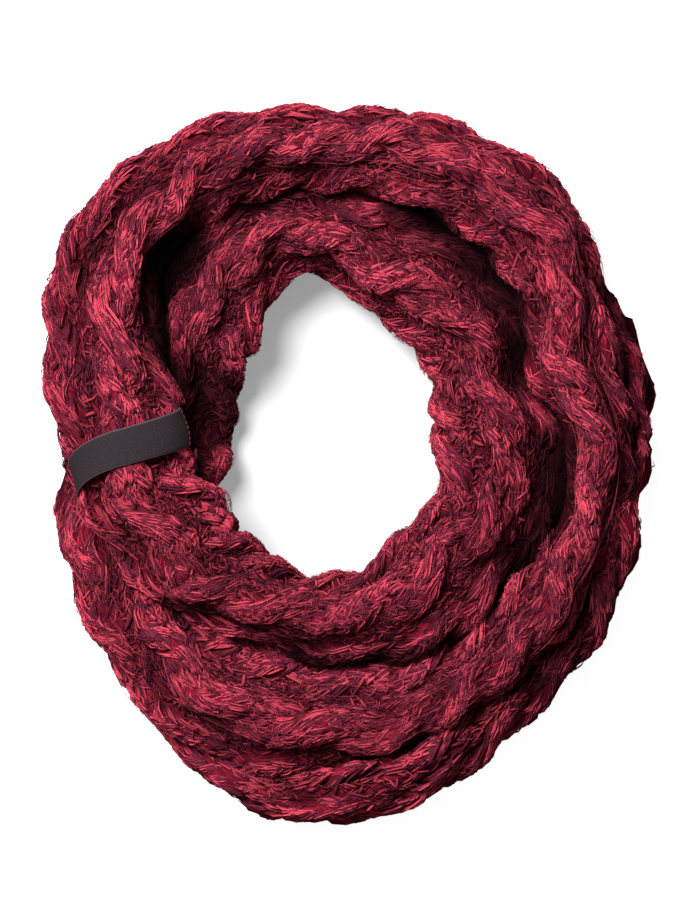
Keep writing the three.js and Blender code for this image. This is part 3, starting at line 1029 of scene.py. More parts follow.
@dataclass(frozen=True)
class Legs:
    """The cables' stitches: courses along the tube, wales across it, two legs a stitch."""

    wale_offset: float = 4.6
    steps: int = 7
    reach: float = 2.15
    stretch: Pair = (0.65, 1.45)
    tuck: float = 0.35
    slip: float = 1.1
    slant: float = 2.2
    bow: float = 0.9
    spread: float = 4.7
    spread_noise: float = 0.6
    seat: float = 1.5
    dip: float = 2.3
    dip_arch: tuple[float, ...] = (0.0, 1.0, 0.7, 0.02)
    # Painted shade: extra depth given to a leg where it dips
    dip_shade: float = 0.8
    unevenness: float = 0.5
    buried: float = 1.6
    core: Pair = (2.5, 1.4)
    core_steps: tuple[int, ...] = (0, 1, 3, 5, 6)
    core_taper: Triple = (0.07, 0.86, 0.55)
    core_sizes: Pair = (0.85, 1.15)
    core_tone: Pair = (0.25, 0.2)
    # Painted shade: share of the leg's painted light that its core keeps, below the threads
    core_shade: float = 0.7
    patch_spread: float = 0.5

    def paths(
        self, bed: Bed, length: Array, column: Array, strand: float, wale: int, leg: Leg
    ) -> tuple[Array, Array, Array, Array, Array]:
        """Paths of one side's legs in one wale of a cable strand.

        A leg starts at the wale's middle, leans out to its side as it runs along, and
        arches over the start of the next course. It follows the strand's own winding.

        Args:
            bed: The length of ground that the legs lie on.
            length: Length along the tube at each stitch.
            column: The cable's column at each stitch.
            strand: Which strand of the cable, as a share of its winding.
            wale: Side of the strand's middle, -1 or 1.
            leg: Side of the wale's middle.

        Returns:
            The paths, the normals along them, how high each leg's strand stands over the
            other strand there, the share across the ground at its middle, and the painted
            light of each step.
        """
        ground, random = bed.ground, bed.random
        steps = np.linspace(0.0, 1.0, self.steps)
        middle = self.steps // 2
        each = (len(length), 1)
        slip = random.normal(0.0, self.slip, each)
        stretch = random.uniform(*self.stretch, each)
        turn = turn_at(length[:, None] + COURSE * (self.reach * stretch * steps - self.tuck) + slip)
        columns = column[:, None]
        angle = CABLES.angle(turn, columns, strand)
        wound = CABLES.drift(turn) + columns * CABLES.pitch + CABLES.sway * np.cos(angle)
        slant = random.normal(0.0, self.slant, each) + CABLES.flow(turn, columns)
        bow = random.normal(0.0, self.bow, each) * np.sin(np.pi * steps)
        lean = self.spread * steps + random.normal(0.0, self.spread_noise, each)
        offset = wale * self.wale_offset + leg.value * lean + slant * (steps - 0.5) + bow
        across = wound + offset
        dome = np.sqrt(np.maximum(1.0 - (offset / CABLES.half_strand) ** 2, 0.0))
        own = CABLES.cross * np.sin(angle) + CABLES.bulge * dome
        dip = self.dip * (1.0 - arch(steps, *self.dip_arch))
        uneven = random.normal(0.0, self.unevenness, each)
        share = ground.share(turn, across)
        lift = own - ground.sunk(turn, share) - self.seat - dip + uneven
        path, normal = ground.lay(turn, across, lift, self.core[1] + THREAD.half_height)
        over = own[:, middle] - CABLES.relief(turn[:, middle], across[:, middle])
        # Painted shade: darker the further the leg lies below the cables' crest, and where it dips
        shade = ground.light(turn, share, CABLES.height - own + self.dip_shade * dip)
        return path, normal, over, share[:, middle], shade

    def add(self, bed: Bed) -> None:
        """Adds every leg that shows on a length of the tube: its core, and the threads over it."""
        random = bed.random
        columns = np.arange(-CABLES.columns_aside, CABLES.columns_aside + 1)
        length, column = (grid.ravel() for grid in np.meshgrid(bed.courses(), columns, indexing="ij"))
        picked = list(self.core_steps)
        taper = arch(np.array([picked]) / (self.steps - 1), *self.core_taper)
        for strand, wale, leg in product(CABLES.strands, (-1, 1), Leg):
            path, normal, over, share, shade = self.paths(bed, length, column, strand, wale, leg)
            keep = bed.shows(path[:, self.steps // 2], turn_at(length), share)
            keep &= over > -self.buried
            if not keep.any():
                continue
            path = bend_with_floor(path[keep], self.core[1])
            normal, shade = normal[keep], shade[keep]
            thick = random.uniform(*self.core_sizes, (len(path), 1))
            loft_petals(
                bed.parts,
                path[:, picked],
                normal[:, picked],
                self.core[0] * taper * thick,
                self.core[1] * taper * thick,
                CORE_SIDES,
                random.normal(*self.core_tone, len(path)),
                self.core_shade * shade[:, picked],
                random,
            )
            patch = CABLES.patch(length[keep], column[keep] + strand, wale)
            bright_share = patch + random.uniform(-self.patch_spread, self.patch_spread, len(path))
            THREAD.add(bed, path, normal, self.core, shade, bright_share)


@dataclass(frozen=True)
class PurlBumps:
    """Purl bumps in the gutters between cables: short arcs across the tube."""

    share: float = 0.15
    steps: int = 6
    reach: Pair = (3.0, 6.0)
    tilt: float = 1.4
    slip: float = 1.3
    rise: float = 1.3
    unevenness: float = 0.5
    half_width: float = 0.9
    sizes: Pair = (0.55, 1.2)
    taper: Triple = (0.1, 0.8, 0.6)
    bright_share: float = 0.25
    depth_above: float = 1.0
    end_depth: float = 1.5

    def add(self, bed: Bed) -> None:
        """Adds the bumps that show on a length of the tube."""
        ground, random = bed.ground, bed.random
        courses = bed.courses()
        courses = np.sort(np.concatenate([courses, courses + COURSE / 2]))
        gutters = np.arange(-CABLES.columns_aside, CABLES.columns_aside) + 0.5
        length, gutter = (grid.ravel() for grid in np.meshgrid(courses, gutters, indexing="ij"))
        steps = np.linspace(-1.0, 1.0, self.steps)
        middle = self.steps // 2
        each = (len(length), 1)
        reach = random.uniform(*self.reach, each)
        tilt = random.normal(0.0, self.tilt, each)
        slip = random.normal(0.0, self.slip, each)
        turn = turn_at(length[:, None] + slip + tilt * steps)
        across = CABLES.drift(turn) + gutter[:, None] * CABLES.pitch + reach * steps
        share = ground.share(turn, across)
        uneven = random.normal(0.0, self.unevenness, each)
        lift = self.rise * (1.0 - steps**2) - ground.sunk(turn, share) + uneven
        path, normal = ground.lay(turn, across, lift, self.half_width)
        keep = random.uniform(0.0, 1.0, len(length)) < self.share
        keep &= bed.shows(path[:, middle], turn_at(length), share[:, middle])
        if not keep.any():
            return
        shown = bend_with_floor(path[keep], self.half_width)
        taper = arch((steps + 1) / 2, *self.taper)
        size = self.half_width * random.uniform(*self.sizes, (len(shown), 1)) * taper
        tone = THREAD.tones(np.full(len(shown), self.bright_share), random)
        # Painted shade: the bumps lie below the cables' crest, deeper at their ends
        depth = np.full(share.shape, CABLES.height - self.depth_above) + self.end_depth * steps**2
        shade = ground.light(turn, share, depth)[keep]
        shown_normal = normal[keep]
        loft_petals(bed.parts, shown, shown_normal, size, size, CORE_SIDES, tone, shade, random)


@dataclass(frozen=True)
class Floats:
    """Threads that lie between and over the cables, in chevrons, each a curved taper."""

    density: float = 0.11
    chevrons: int = 4
    steps: tuple[float, ...] = (-0.5, -0.18, 0.2, 0.5)
    heading: Pair = (0.55, 0.3)
    heading_noise: float = 0.25
    reach: Pair = (5.0, 12.0)
    curl: float = 0.12
    curl_middle: float = 0.1
    rise: Pair = (-0.6, 0.9)
    dip: float = 1.2
    highest_share: float = 0.8
    sizes: Pair = (0.6, 1.3)
    less_bright: float = 0.08

    def add(self, bed: Bed) -> None:
        """Adds the threads that show on a length of the tube, fewer where a cable stands high."""
        ground, random = bed.ground, bed.random
        first, last = bed.lengths
        middle_girth = float(ground.girth(np.array([(bed.start + bed.end) / 2]))[0])
        count = int((last - first) * middle_girth * self.density)
        each = (count, 1)
        length = random.uniform(first, last, each)
        across = (random.uniform(0.0, 1.0, each) - 0.5) * ground.girth(turn_at(length))
        from_column = across - CABLES.drift(turn_at(length))
        side = np.sign(np.sin(2 * np.pi * from_column / (CABLES.pitch / self.chevrons)))
        heading = side * random.normal(*self.heading, each)
        heading = heading + random.normal(0.0, self.heading_noise, each)
        reach = random.uniform(*self.reach, each)
        steps = np.array([self.steps])
        curl = random.normal(0.0, self.curl, each) * (steps**2 - self.curl_middle)
        turn = turn_at(length + reach * (np.cos(heading) * steps - np.sin(heading) * curl))
        across = across + reach * (np.sin(heading) * steps + np.cos(heading) * curl)
        share = ground.share(turn, across)
        relief = CABLES.relief(turn, across)
        lift = relief - ground.sunk(turn, share) + random.uniform(*self.rise, each)
        lift = lift - self.dip * np.abs(2 * steps) ** 3
        path, normal = ground.lay(turn, across, lift, THREAD.half_height)
        keep = random.uniform(0.0, self.highest_share, count) > relief[:, 1] / CABLES.height
        keep &= bed.shows(path[:, 1], turn[:, 1], share[:, 1])
        if not keep.any():
            return
        shown = bend_with_floor(path[keep], THREAD.half_height)
        size = random.uniform(*self.sizes, (len(shown), 1)) * np.ones((1, steps.size))
        column = np.round(across[keep, 1] / CABLES.pitch)
        bright_share = CABLES.patch(length[keep, 0], column, 0) - self.less_bright
        # Painted shade: darker below the cables' crest, and at the threads' tips
        shade = (ground.light(turn, share, CABLES.height - relief) * THREAD.tip_fade)[keep]
        loft_petals(
            bed.parts,
            shown,
            normal[keep],
            THREAD.half_width * size,
            THREAD.half_height * size,
            THREAD_SIDES,
            THREAD.tones(bright_share, random),
            shade,
            random,
        )


@dataclass(frozen=True)
class Shell:
    """The cloth below the stitches: a thin wall on the ground, with cables and creases."""

    step_along: float = 5.5
    showing_steps: int = 38
    resting_steps: int = 6
    below: float = 1.4
    press: float = 1.5
    flank: Pair = (0.14, 0.24)
    outer_turn_pressed: tuple[float, ...] = (18.0, 34.0, 312.0, 330.0)
    inner_turn_pressed: tuple[float, ...] = (396.0, 412.0, 622.0, 645.0)
    thickness: float = 2.4
    fade: float = 1 / 6
    label_room: float = 0.4
    floor_gap: float = 0.1
    fold_underside: Pair = (174.0, 0.0)
    tone: float = 0.4
    # Painted shade of the underside, which shows least
    resting_shade: float = 0.4

    def build(self, name: str, bed: Bed, material: Material) -> tuple[bpy.types.Object, Pair]:
        """Makes the shell of one stretch as a grid of travel and angle, closed round.

        Args:
            name: Name of the piece.
            bed: The length of ground that it follows.
            material: Its finish.

        Returns:
            The piece, and the width and length that the cloth was cut to, in metres.
        """
        ground = bed.ground
        first, last = bed.lengths
        rows = max(3, round((last - first) / self.step_along)) + 1
        length = np.linspace(first, last, rows)[:, None]
        turn = turn_at(length)
        share = np.linspace(0.0, 1.0, self.showing_steps + 1)[None, :]
        across = (share - 0.5) * ground.girth(turn)
        relief = CABLES.relief(turn, across)
        fade = np.clip(np.minimum(share / ground.foot_share, (1 - share) / self.fade), 0.0, 1.0)
        inset = self.below + fade * (ground.sunk(turn, share) - relief)
        inset = inset + (-self.press - inset) * self.pressed_flank(ground, turn, share)
        inset = -ground.under_label(turn, share + 0 * turn, -inset, self.label_room, True)
        showing = ground.place(turn, across, -inset)
        resting = self.resting(ground, turn, inset[:, -1:], inset[:, :1])
        grid = np.concatenate([showing, resting], axis=1)
        steps = np.linalg.norm(np.diff(grid, axis=1, append=grid[:, :1]), axis=2)
        around = np.cumsum(steps, axis=1) - steps
        fibre = np.stack([np.broadcast_to(length, around.shape), around, 0 * around], axis=-1)
        # Painted shade: the showing part darker below the cables' crest and in creases, the underside
        # evenly
        shown_shade = ground.light(turn + 0 * share, share + 0 * turn, CABLES.height - relief)
        hidden_shade = np.full(resting[..., 0].shape, self.resting_shade)
        parts = MeshParts()
        shade = np.concatenate([shown_shade, hidden_shade], axis=1)
        parts.add_rings(grid, [], fibre, self.tone, shade)
        piece = parts.build(name, material, Slot.KNIT)
        wall = piece.modifiers.new("wall", "SOLIDIFY")
        wall.thickness = self.thickness * MM
        wall.offset = -1.0
        cut = (float(steps.sum(axis=1).mean()) * MM, float(last - first) * MM)
        return piece, cut

    def pressed_flank(self, ground: Ground, turn: Array, share: Array) -> Array:
        """1 low on the flank that lies against the tube's other turn, easing to 0 above it."""
        pressed = blank(turn, share)
        if isinstance(ground, FoldGround):
            return pressed
        for span, edge in ((self.outer_turn_pressed, 1.0 - share), (self.inner_turn_pressed, share)):
            along = smooth_step(turn, *span[:2]) * (1.0 - smooth_step(turn, *span[2:]))
            pressed = pressed + along * (1.0 - smooth_step(edge, *self.flank))
        return pressed

    def resting(self, ground: Ground, turn: Array, inner_inset: Array, outer_inset: Array) -> Array:
        """Points of the part that shows least: the underside, from the inner foot outwards."""
        steps = np.arange(1, self.resting_steps)[None, :] / self.resting_steps
        degrees = ground.last_angle + (360.0 + ground.first_angle - ground.last_angle) * steps
        if isinstance(ground, FoldGround):
            degrees = np.array([self.fold_underside])
            steps = np.array([[0.0, 1.0]])
        flat = np.broadcast_to(degrees, (len(turn), degrees.shape[1]))
        inset = inner_inset + (outer_inset - inner_inset) * steps
        radius, height = ground.outline(turn, flat, inset)
        if isinstance(ground, TubeGround):
            height = np.maximum(height, WINDING.section(turn)[2] + self.floor_gap)
        return WINDING.plan(turn, radius, height)


@dataclass(frozen=True)
class Fuzz:
    """Loose fibres of the brushed yarn: fine hairs that lie on the knit and lift off it."""

    count: int
    steps: int
    half_width: float
    reach: Pair
    heading: float
    rise: float
    shares: Pair
    over_cables: float
    tone: float
    curl: float = 0.3
    rise_shape: float = 2.0
    most_rises: float = 4.0
    lift: float = 0.2
    lift_arch: Triple = (0.1, 0.75, 1.0)
    root_dip: float = 0.6
    label_gap: float = 0.5
    clearance: float = 0.3
    sizes: Pair = (0.7, 1.3)
    tone_spread: float = 0.3

    def build(self, name: str, bed: Bed, material: Material) -> bpy.types.Object:
        """Scatters hairs over a length of the tube, each a curved taper.

        Args:
            name: Name of the piece.
            bed: The length of ground under the hairs.
            material: Their finish.

        Returns:
            The joined piece.
        """
        ground, random = bed.ground, bed.random
        each = (self.count, 1)
        length = random.uniform(*bed.lengths, each)
        share = random.uniform(*self.shares, each)
        steps = np.linspace(0.0, 1.0, self.steps)[None, :]
        heading = random.normal(0.0, self.heading, each)
        curl = random.normal(0.0, self.heading, each)
        reach = random.uniform(*self.reach, each)
        turn = turn_at(length + reach * np.cos(heading) * steps)
        aside = reach * (np.sin(heading) * steps + self.curl * curl * steps**2)
        across = (share - 0.5) * ground.girth(turn) + aside
        relief = CABLES.relief(turn, across)
        base = relief + self.over_cables * (CABLES.height - relief)
        rise = random.gamma(self.rise_shape, self.rise, each)
        rise = np.minimum(rise, self.most_rises * self.rise)
        lift = base - ground.sunk(turn, share + 0 * turn) + self.lift
        lift = lift + rise * arch(steps, *self.lift_arch) - self.root_dip * (1 - steps)
        path = ground.place(turn, across, lift)
        normal = ground.normal(turn, across)
        middle = self.steps // 2
        degrees = ground.degrees(turn, ground.share(turn, across))
        radius = ground.outline(turn, degrees, np.zeros_like(turn))[0]
        from_label = LABEL_PLACE.aside(WINDING.signed(turn), degrees, radius)
        keep = ~bed.hidden.at(path[:, middle], turn[:, middle])
        keep &= (from_label > self.label_gap).all(axis=1)
        shown = bend_with_floor(path[keep], self.clearance)
        size = self.half_width * random.uniform(*self.sizes, (len(shown), 1))
        size = size * np.ones((1, self.steps))
        tone = random.normal(self.tone, self.tone_spread, len(shown))
        # Painted shade: hairs darker where they lie below the cables' crest
        shade = ground.light(turn, ground.share(turn, across), CABLES.height - relief)[keep]
        shown_normal = normal[keep]
        loft_petals(bed.parts, shown, shown_normal, size, size, THREAD_SIDES, tone, shade, random)
        return bed.parts.build(name, material, Slot.KNIT)


HAIRS = Fuzz(
    count=24000, steps=3, half_width=0.11, reach=(3.5, 9.0), heading=0.8, rise=0.3,
    shares=(0.03, 0.97), over_cables=0.0, tone=0.55,
)
WISPS = Fuzz(
    count=260, steps=9, half_width=0.12, reach=(20.0, 48.0), heading=0.06, rise=0.1,
    shares=(0.38, 0.68), over_cables=0.45, tone=0.5,
)


class NodeTree:
    """Short ways to add and link shader nodes."""

    def __init__(self, tree: bpy.types.NodeTree) -> None:
        """Works on one tree."""
        self.tree = tree

    def add(self, kind: str, **settings: object) -> bpy.types.Node:
        """Adds a node of a kind, with settings of its own."""
        node = self.tree.nodes.new(kind)
        for key, value in settings.items():
            setattr(node, key, value)
        return node

    def fill(self, socket: Socket, value: object) -> None:
        """Links a socket to another one, or gives it a number or a colour."""
        if isinstance(value, Socket):
            self.tree.links.new(value, socket)
        else:
            socket.default_value = value

    def scaled(self, vector: Socket, by: Triple) -> Socket:
        """A vector multiplied by numbers."""
        node = self.add("ShaderNodeVectorMath", operation="MULTIPLY")
        self.fill(node.inputs[0], vector)
        self.fill(node.inputs[1], by)
        return node.outputs[0]

    def noise(self, vector: Socket, by: Triple, detail: float) -> Socket:
        """The strength of a noise pattern, on a vector that is scaled first."""
        place = self.scaled(vector, by)
        node = self.add("ShaderNodeTexNoise")
        for key, value in (("Vector", place), ("Scale", 1.0), ("Detail", detail)):
            self.fill(node.inputs[key], value)
        return node.outputs["Fac"]

    def maths(self, operation: str, first: object, second: object = 0.0) -> Socket:
        """The outcome of a sum on one or two sockets or numbers."""
        node = self.add("ShaderNodeMath", operation=operation)
        self.fill(node.inputs[0], first)
        self.fill(node.inputs[1], second)
        return node.outputs[0]

    def swing(self, value: Socket, by: float) -> Socket:
        """A value from 0 to 1 made to swing about nothing, as wide as a number."""
        return self.maths("MULTIPLY", self.maths("SUBTRACT", value, 0.5), by)

    def ramp(self, value: Socket, low: float, high: float) -> Socket:
        """0 below low, 1 above high, eased between them."""
        node = self.add("ShaderNodeMapRange", interpolation_type="SMOOTHSTEP")
        for key, entry in (("Value", value), ("From Min", low), ("From Max", high)):
            self.fill(node.inputs[key], entry)
        return node.outputs["Result"]

    def mix(self, share: Socket, first: object, second: object) -> Socket:
        """A colour between two sockets or colours."""
        node = self.add("ShaderNodeMix", data_type="RGBA")
        colours = [socket for socket in node.inputs if socket.type == "RGBA"]
        for socket, value in zip((node.inputs["Factor"], *colours), (share, first, second)):
            self.fill(socket, value)
        return next(socket for socket in node.outputs if socket.type == "RGBA")

    def bump(self, height: Socket, strength: float, depth: float) -> Socket:
        """The surface's normal, pressed by a pattern as deep as so many millimetres."""
        node = self.add("ShaderNodeBump")
        for key, value in (("Strength", strength), ("Distance", depth * MM), ("Height", height)):
            self.fill(node.inputs[key], value)
        return node.outputs["Normal"]


def start_material(name: str) -> tuple[Material, NodeTree, bpy.types.Node]:
    """A new material, with its node tree and its shader."""
    material = bpy.data.materials.new(name)
    material.use_nodes = True
    return material, NodeTree(material.node_tree), material.node_tree.nodes["Principled BSDF"]


def linear(red: int, green: int, blue: int) -> Rgba:
    """A colour in linear light from its everyday values, 0 to 255."""
    values = np.array([red, green, blue]) / 255.0
    values = np.where(values <= 0.04045, values / 12.92, ((values + 0.055) / 1.055) ** 2.4)
    return (float(values[0]), float(values[1]), float(values[2]), 1.0)


def grey(value: float) -> Rgba:
    """A grey in linear light."""
    return (value, value, value, 1.0)


@dataclass(frozen=True)
class Marl:
    """The marled yarn's pattern: streaks of one colour in the other, along the fibres.

    Three noises run along the fibres, each finer than the one before it: streaks of
    colour, threads and hairs.
    """

    streaks: Triple = (0.06, 0.8, 0.8)
    threads: Triple = (0.24, 2.6, 2.6)
    hairs: Triple = (0.45, 7.0, 7.0)
    tone_swing: float = 0.78
    thread_swing: float = 0.8
    bright: Pair = (0.38, 0.72)
    haze: Pair = (0.4, 0.75)
    thread_height: float = 0.7
    hair_height: float = 0.3
    detail: Pair = (1.0, 2.0)

    def build(self) -> bpy.types.NodeTree:
        """Makes the node group.

        Returns:
            A group that takes the fibre's own coordinates in millimetres and a tone, and
            gives the share of bright colour, a fine share of haze, and a height.
        """
        group = bpy.data.node_groups.new("Marled yarn", "ShaderNodeTree")
        for name, way, kind in (
            ("Fibre", "INPUT", "NodeSocketVector"),
            ("Tone", "INPUT", "NodeSocketFloat"),
            ("Bright", "OUTPUT", "NodeSocketFloat"),
            ("Haze", "OUTPUT", "NodeSocketFloat"),
            ("Height", "OUTPUT", "NodeSocketFloat"),
        ):
            group.interface.new_socket(name, in_out=way, socket_type=kind)
        nodes = NodeTree(group)
        inputs = nodes.add("NodeGroupInput").outputs
        outputs = nodes.add("NodeGroupOutput").inputs
        plain, rich = self.detail
        streaks = nodes.noise(inputs["Fibre"], self.streaks, plain)
        threads = nodes.noise(inputs["Fibre"], self.threads, rich)
        hairs = nodes.noise(inputs["Fibre"], self.hairs, rich)
        shifted = nodes.maths("ADD", streaks, nodes.swing(inputs["Tone"], self.tone_swing))
        broken = nodes.maths("ADD", shifted, nodes.swing(threads, self.thread_swing))
        thread_rise = nodes.maths("MULTIPLY", threads, self.thread_height)
        hair_rise = nodes.maths("MULTIPLY", hairs, self.hair_height)
        nodes.fill(outputs["Bright"], nodes.ramp(broken, *self.bright))
        nodes.fill(outputs["Haze"], nodes.ramp(hairs, *self.haze))
        nodes.fill(outputs["Height"], nodes.maths("ADD", thread_rise, hair_rise))
        return group


@dataclass(frozen=True)
class YarnFinish:
    """A finish of the marled yarn: its colours, the colour of its painted shade, and how it takes light.
    """

    name: str
    # Painted shade: the colour that the yarn runs to where the shade attribute is 0
    depth: Colour = (7, 0, 2)
    dark: Colour = (92, 26, 46)
    bright: Colour = (208, 69, 88)
    haze: Colour = (164, 60, 80)
    haze_share: float = 0.38
    bump_strength: float = 0.9
    bump_depth: float = 0.5
    roughness: float = 0.95
    specular: float = 0.05
    sheen: float = 0.02
    sheen_roughness: float = 0.45
    sheen_tint: Colour = (214, 112, 134)

    def build(self, marl: bpy.types.NodeTree) -> Material:
        """Makes the material.

        Args:
            marl: The marled yarn's node group.

        Returns:
            A material that reads the pieces' fibre, tone and painted shade attributes.
        """
        material, nodes, shader = start_material(self.name)
        fibre, tone, shade = (
            nodes.add("ShaderNodeAttribute", attribute_name=name).outputs
            for name in ("fibre", "tone", "shade")
        )
        pattern = nodes.add("ShaderNodeGroup", node_tree=marl)
        nodes.fill(pattern.inputs["Fibre"], fibre["Vector"])
        nodes.fill(pattern.inputs["Tone"], tone["Fac"])
        yarn = nodes.mix(pattern.outputs["Bright"], linear(*self.dark), linear(*self.bright))
        share = nodes.maths("MULTIPLY", pattern.outputs["Haze"], self.haze_share)
        hazed = nodes.mix(share, yarn, linear(*self.haze))
        for key, value in (
            # Painted shade: the colour runs to the depth colour as the shade attribute falls
            ("Base Color", nodes.mix(shade["Fac"], linear(*self.depth), hazed)),
            ("Normal", nodes.bump(pattern.outputs["Height"], self.bump_strength, self.bump_depth)),
            ("Roughness", self.roughness),
            ("Specular IOR Level", self.specular),
            ("Sheen Weight", self.sheen),
            ("Sheen Roughness", self.sheen_roughness),
            ("Sheen Tint", linear(*self.sheen_tint)),
        ):
            nodes.fill(shader.inputs[key], value)
        return material


STITCH_YARN = YarnFinish("Marled stitches")
# A darker copy of the stitches' yarn: painted shade on the cloth below the stitches
GROUND_YARN = YarnFinish(
    "Marled ground", dark=(74, 10, 28), bright=(176, 34, 54), haze=(120, 28, 46), sheen=0.0
)
LOOSE_YARN = YarnFinish(
    "Loose fibres", dark=(96, 32, 54), bright=(214, 74, 96), haze=(168, 76, 100), haze_share=0.5
)
SEWING_YARN = YarnFinish("Sewing thread", dark=(52, 22, 30), bright=(104, 30, 42), haze=(70, 34, 42))


@dataclass(frozen=True)
class TapeFinish:
    """The label's woven tape: fine ribs, and a paler selvedge along each edge."""

    ground: Colour = (45, 36, 40)
    rib: Colour = (20, 15, 18)
    selvedge: Colour = (66, 56, 61)
    ribs_along: float = 11.0
    ribs_across: float = 14.0
    rib_share: float = 0.2
    mottle: Triple = (0.9, 2.2, 1.0)
    mottle_detail: float = 4.0
    thread: Pair = (0.3, 0.72)
    selvedge_place: Pair = (8.75, 9.2)
    bump_strength: float = 0.45
    bump_depth: float = 0.15
    roughness: float = 0.85
    specular: float = 0.15

    def build(self) -> Material:
        """Makes the material, which reads distances along and across the tape."""
        material, nodes, shader = start_material("Woven tape")
        fibre = nodes.add("ShaderNodeAttribute", attribute_name="fibre").outputs["Vector"]
        parted = nodes.add("ShaderNodeSeparateXYZ")
        nodes.fill(parted.inputs[0], fibre)
        along, across = parted.outputs["X"], parted.outputs["Y"]
        weave = nodes.maths(
            "MULTIPLY",
            nodes.maths("SINE", nodes.maths("MULTIPLY", along, self.ribs_along)),
            nodes.maths("SINE", nodes.maths("MULTIPLY", across, self.ribs_across)),
        )
        mottle = nodes.noise(fibre, self.mottle, self.mottle_detail)
        mottled = nodes.maths("ADD", nodes.maths("MULTIPLY", weave, self.rib_share), mottle)
        thread = nodes.ramp(mottled, *self.thread)
        cloth = nodes.mix(thread, linear(*self.rib), linear(*self.ground))
        edge = nodes.ramp(nodes.maths("ABSOLUTE", across), *self.selvedge_place)
        for key, value in (
            ("Base Color", nodes.mix(edge, cloth, linear(*self.selvedge))),
            ("Normal", nodes.bump(thread, self.bump_strength, self.bump_depth)),
            ("Roughness", self.roughness),
            ("Specular IOR Level", self.specular),
        ):
            nodes.fill(shader.inputs[key], value)
        return material


@dataclass(frozen=True)
class LabelStrip:
    """The woven strip that lies over the left roll, bare of any name."""

    thickness: float = 0.9
    clear: float = 0.6
    steps_round: int = 60
    steps_across: int = 14
    tone: float = 0.5
    sewn_inside: float = 5.0
    sewn_stitches: int = 7
    sewn_share: float = 0.42
    sewn_noise: float = 0.15
    sewn_steps: int = 5
    sewn_reach: float = 1.0
    sewn_slant: float = 0.6
    sewn_rise: float = 0.25
    sewn_half_width: float = 0.32

    def surface(self, degrees: Array, aside: Array, lift: float) -> Array:
        """Points of the strip: round the section by degrees, aside in millimetres."""
        inset = LABEL_PLACE.pressed - self.clear - lift
        middle_turn = LABEL_PLACE.turn(degrees)
        radius = TUBE.outline(middle_turn, degrees, np.full_like(degrees, inset))[0]
        turn = middle_turn + np.degrees(aside / radius)
        shape = np.broadcast(turn, degrees).shape
        drawn = TUBE.outline(turn, np.broadcast_to(degrees, shape), np.full(shape, inset))
        return WINDING.plan(turn, *drawn)

    def build(self, material: Material) -> bpy.types.Object:
        """Makes the strip as an upper and a lower sheet joined at the edges.

        Args:
            material: The tape's finish.

        Returns:
            The piece.
        """
        rows = np.linspace(LABEL_PLACE.end_angle, LABEL_PLACE.inner_angle, self.steps_round)[:, None]
        aside = np.linspace(-0.5, 0.5, self.steps_across)[None, :] * LABEL_PLACE.width
        lower = self.surface(rows, aside, 0.0)
        upper = self.surface(rows, aside[:, ::-1], self.thickness)
        grid = np.concatenate([lower, upper], axis=1)
        shape = grid.shape[:2]
        count = shape[1]
        pair = np.arange(self.steps_across - 1)
        cap = np.stack([pair, pair + 1, count - 2 - pair, count - 1 - pair], axis=-1)
        far_cap = cap + (self.steps_round - 1) * count
        middle = self.surface(rows, np.zeros((1, 1)), self.thickness)
        steps = np.linalg.norm(np.diff(middle[:, 0], axis=0), axis=1)
        along = np.concatenate([[0.0], np.cumsum(steps)])[:, None]
        across = np.concatenate([aside, aside[:, ::-1]], axis=1)
        fibre = np.stack([np.broadcast_to(part, shape) for part in (along, across, 0.0)], axis=-1)
        parts = MeshParts()
        parts.add_rings(grid, [cap[:, ::-1], far_cap], fibre, self.tone, np.ones(shape))
        return parts.build("label_tape", material, Slot.LABEL)

    def sew(self, material: Material, random: Random) -> bpy.types.Object:
        """Makes the short stitches that hold the strip down along its two ends.

        Args:
            material: The sewing thread's finish.
            random: Source of unevenness.

        Returns:
            The joined piece.
        """
        inner = LABEL_PLACE.inner_angle - self.sewn_inside
        outer = LABEL_PLACE.end_angle + self.sewn_inside
        degrees = np.repeat([inner, outer], self.sewn_stitches)[:, None]
        aside = np.linspace(-self.sewn_share, self.sewn_share, self.sewn_stitches) * LABEL_PLACE.width
        aside = np.tile(aside, 2)[:, None]
        aside = aside + random.normal(0.0, self.sewn_noise, aside.shape)
        steps = np.linspace(-1.0, 1.0, self.sewn_steps)[None, :]
        across = aside + self.sewn_reach * steps
        along = degrees + self.sewn_slant * steps
        path, above = (self.surface(along, across, lift) for lift in (0.0, 1.0))
        normal = unit(above - path)
        path = path + normal * (self.thickness + self.sewn_rise * (1.0 - steps**2))[..., None]
        full = np.ones(path.shape[:2])
        size = self.sewn_half_width * full
        parts = MeshParts()
        loft_petals(
            parts, path, normal, size, size, CORE_SIDES, np.ones(len(path)), full, random
        )
        return parts.build("label_sewing", material, Slot.LABEL)


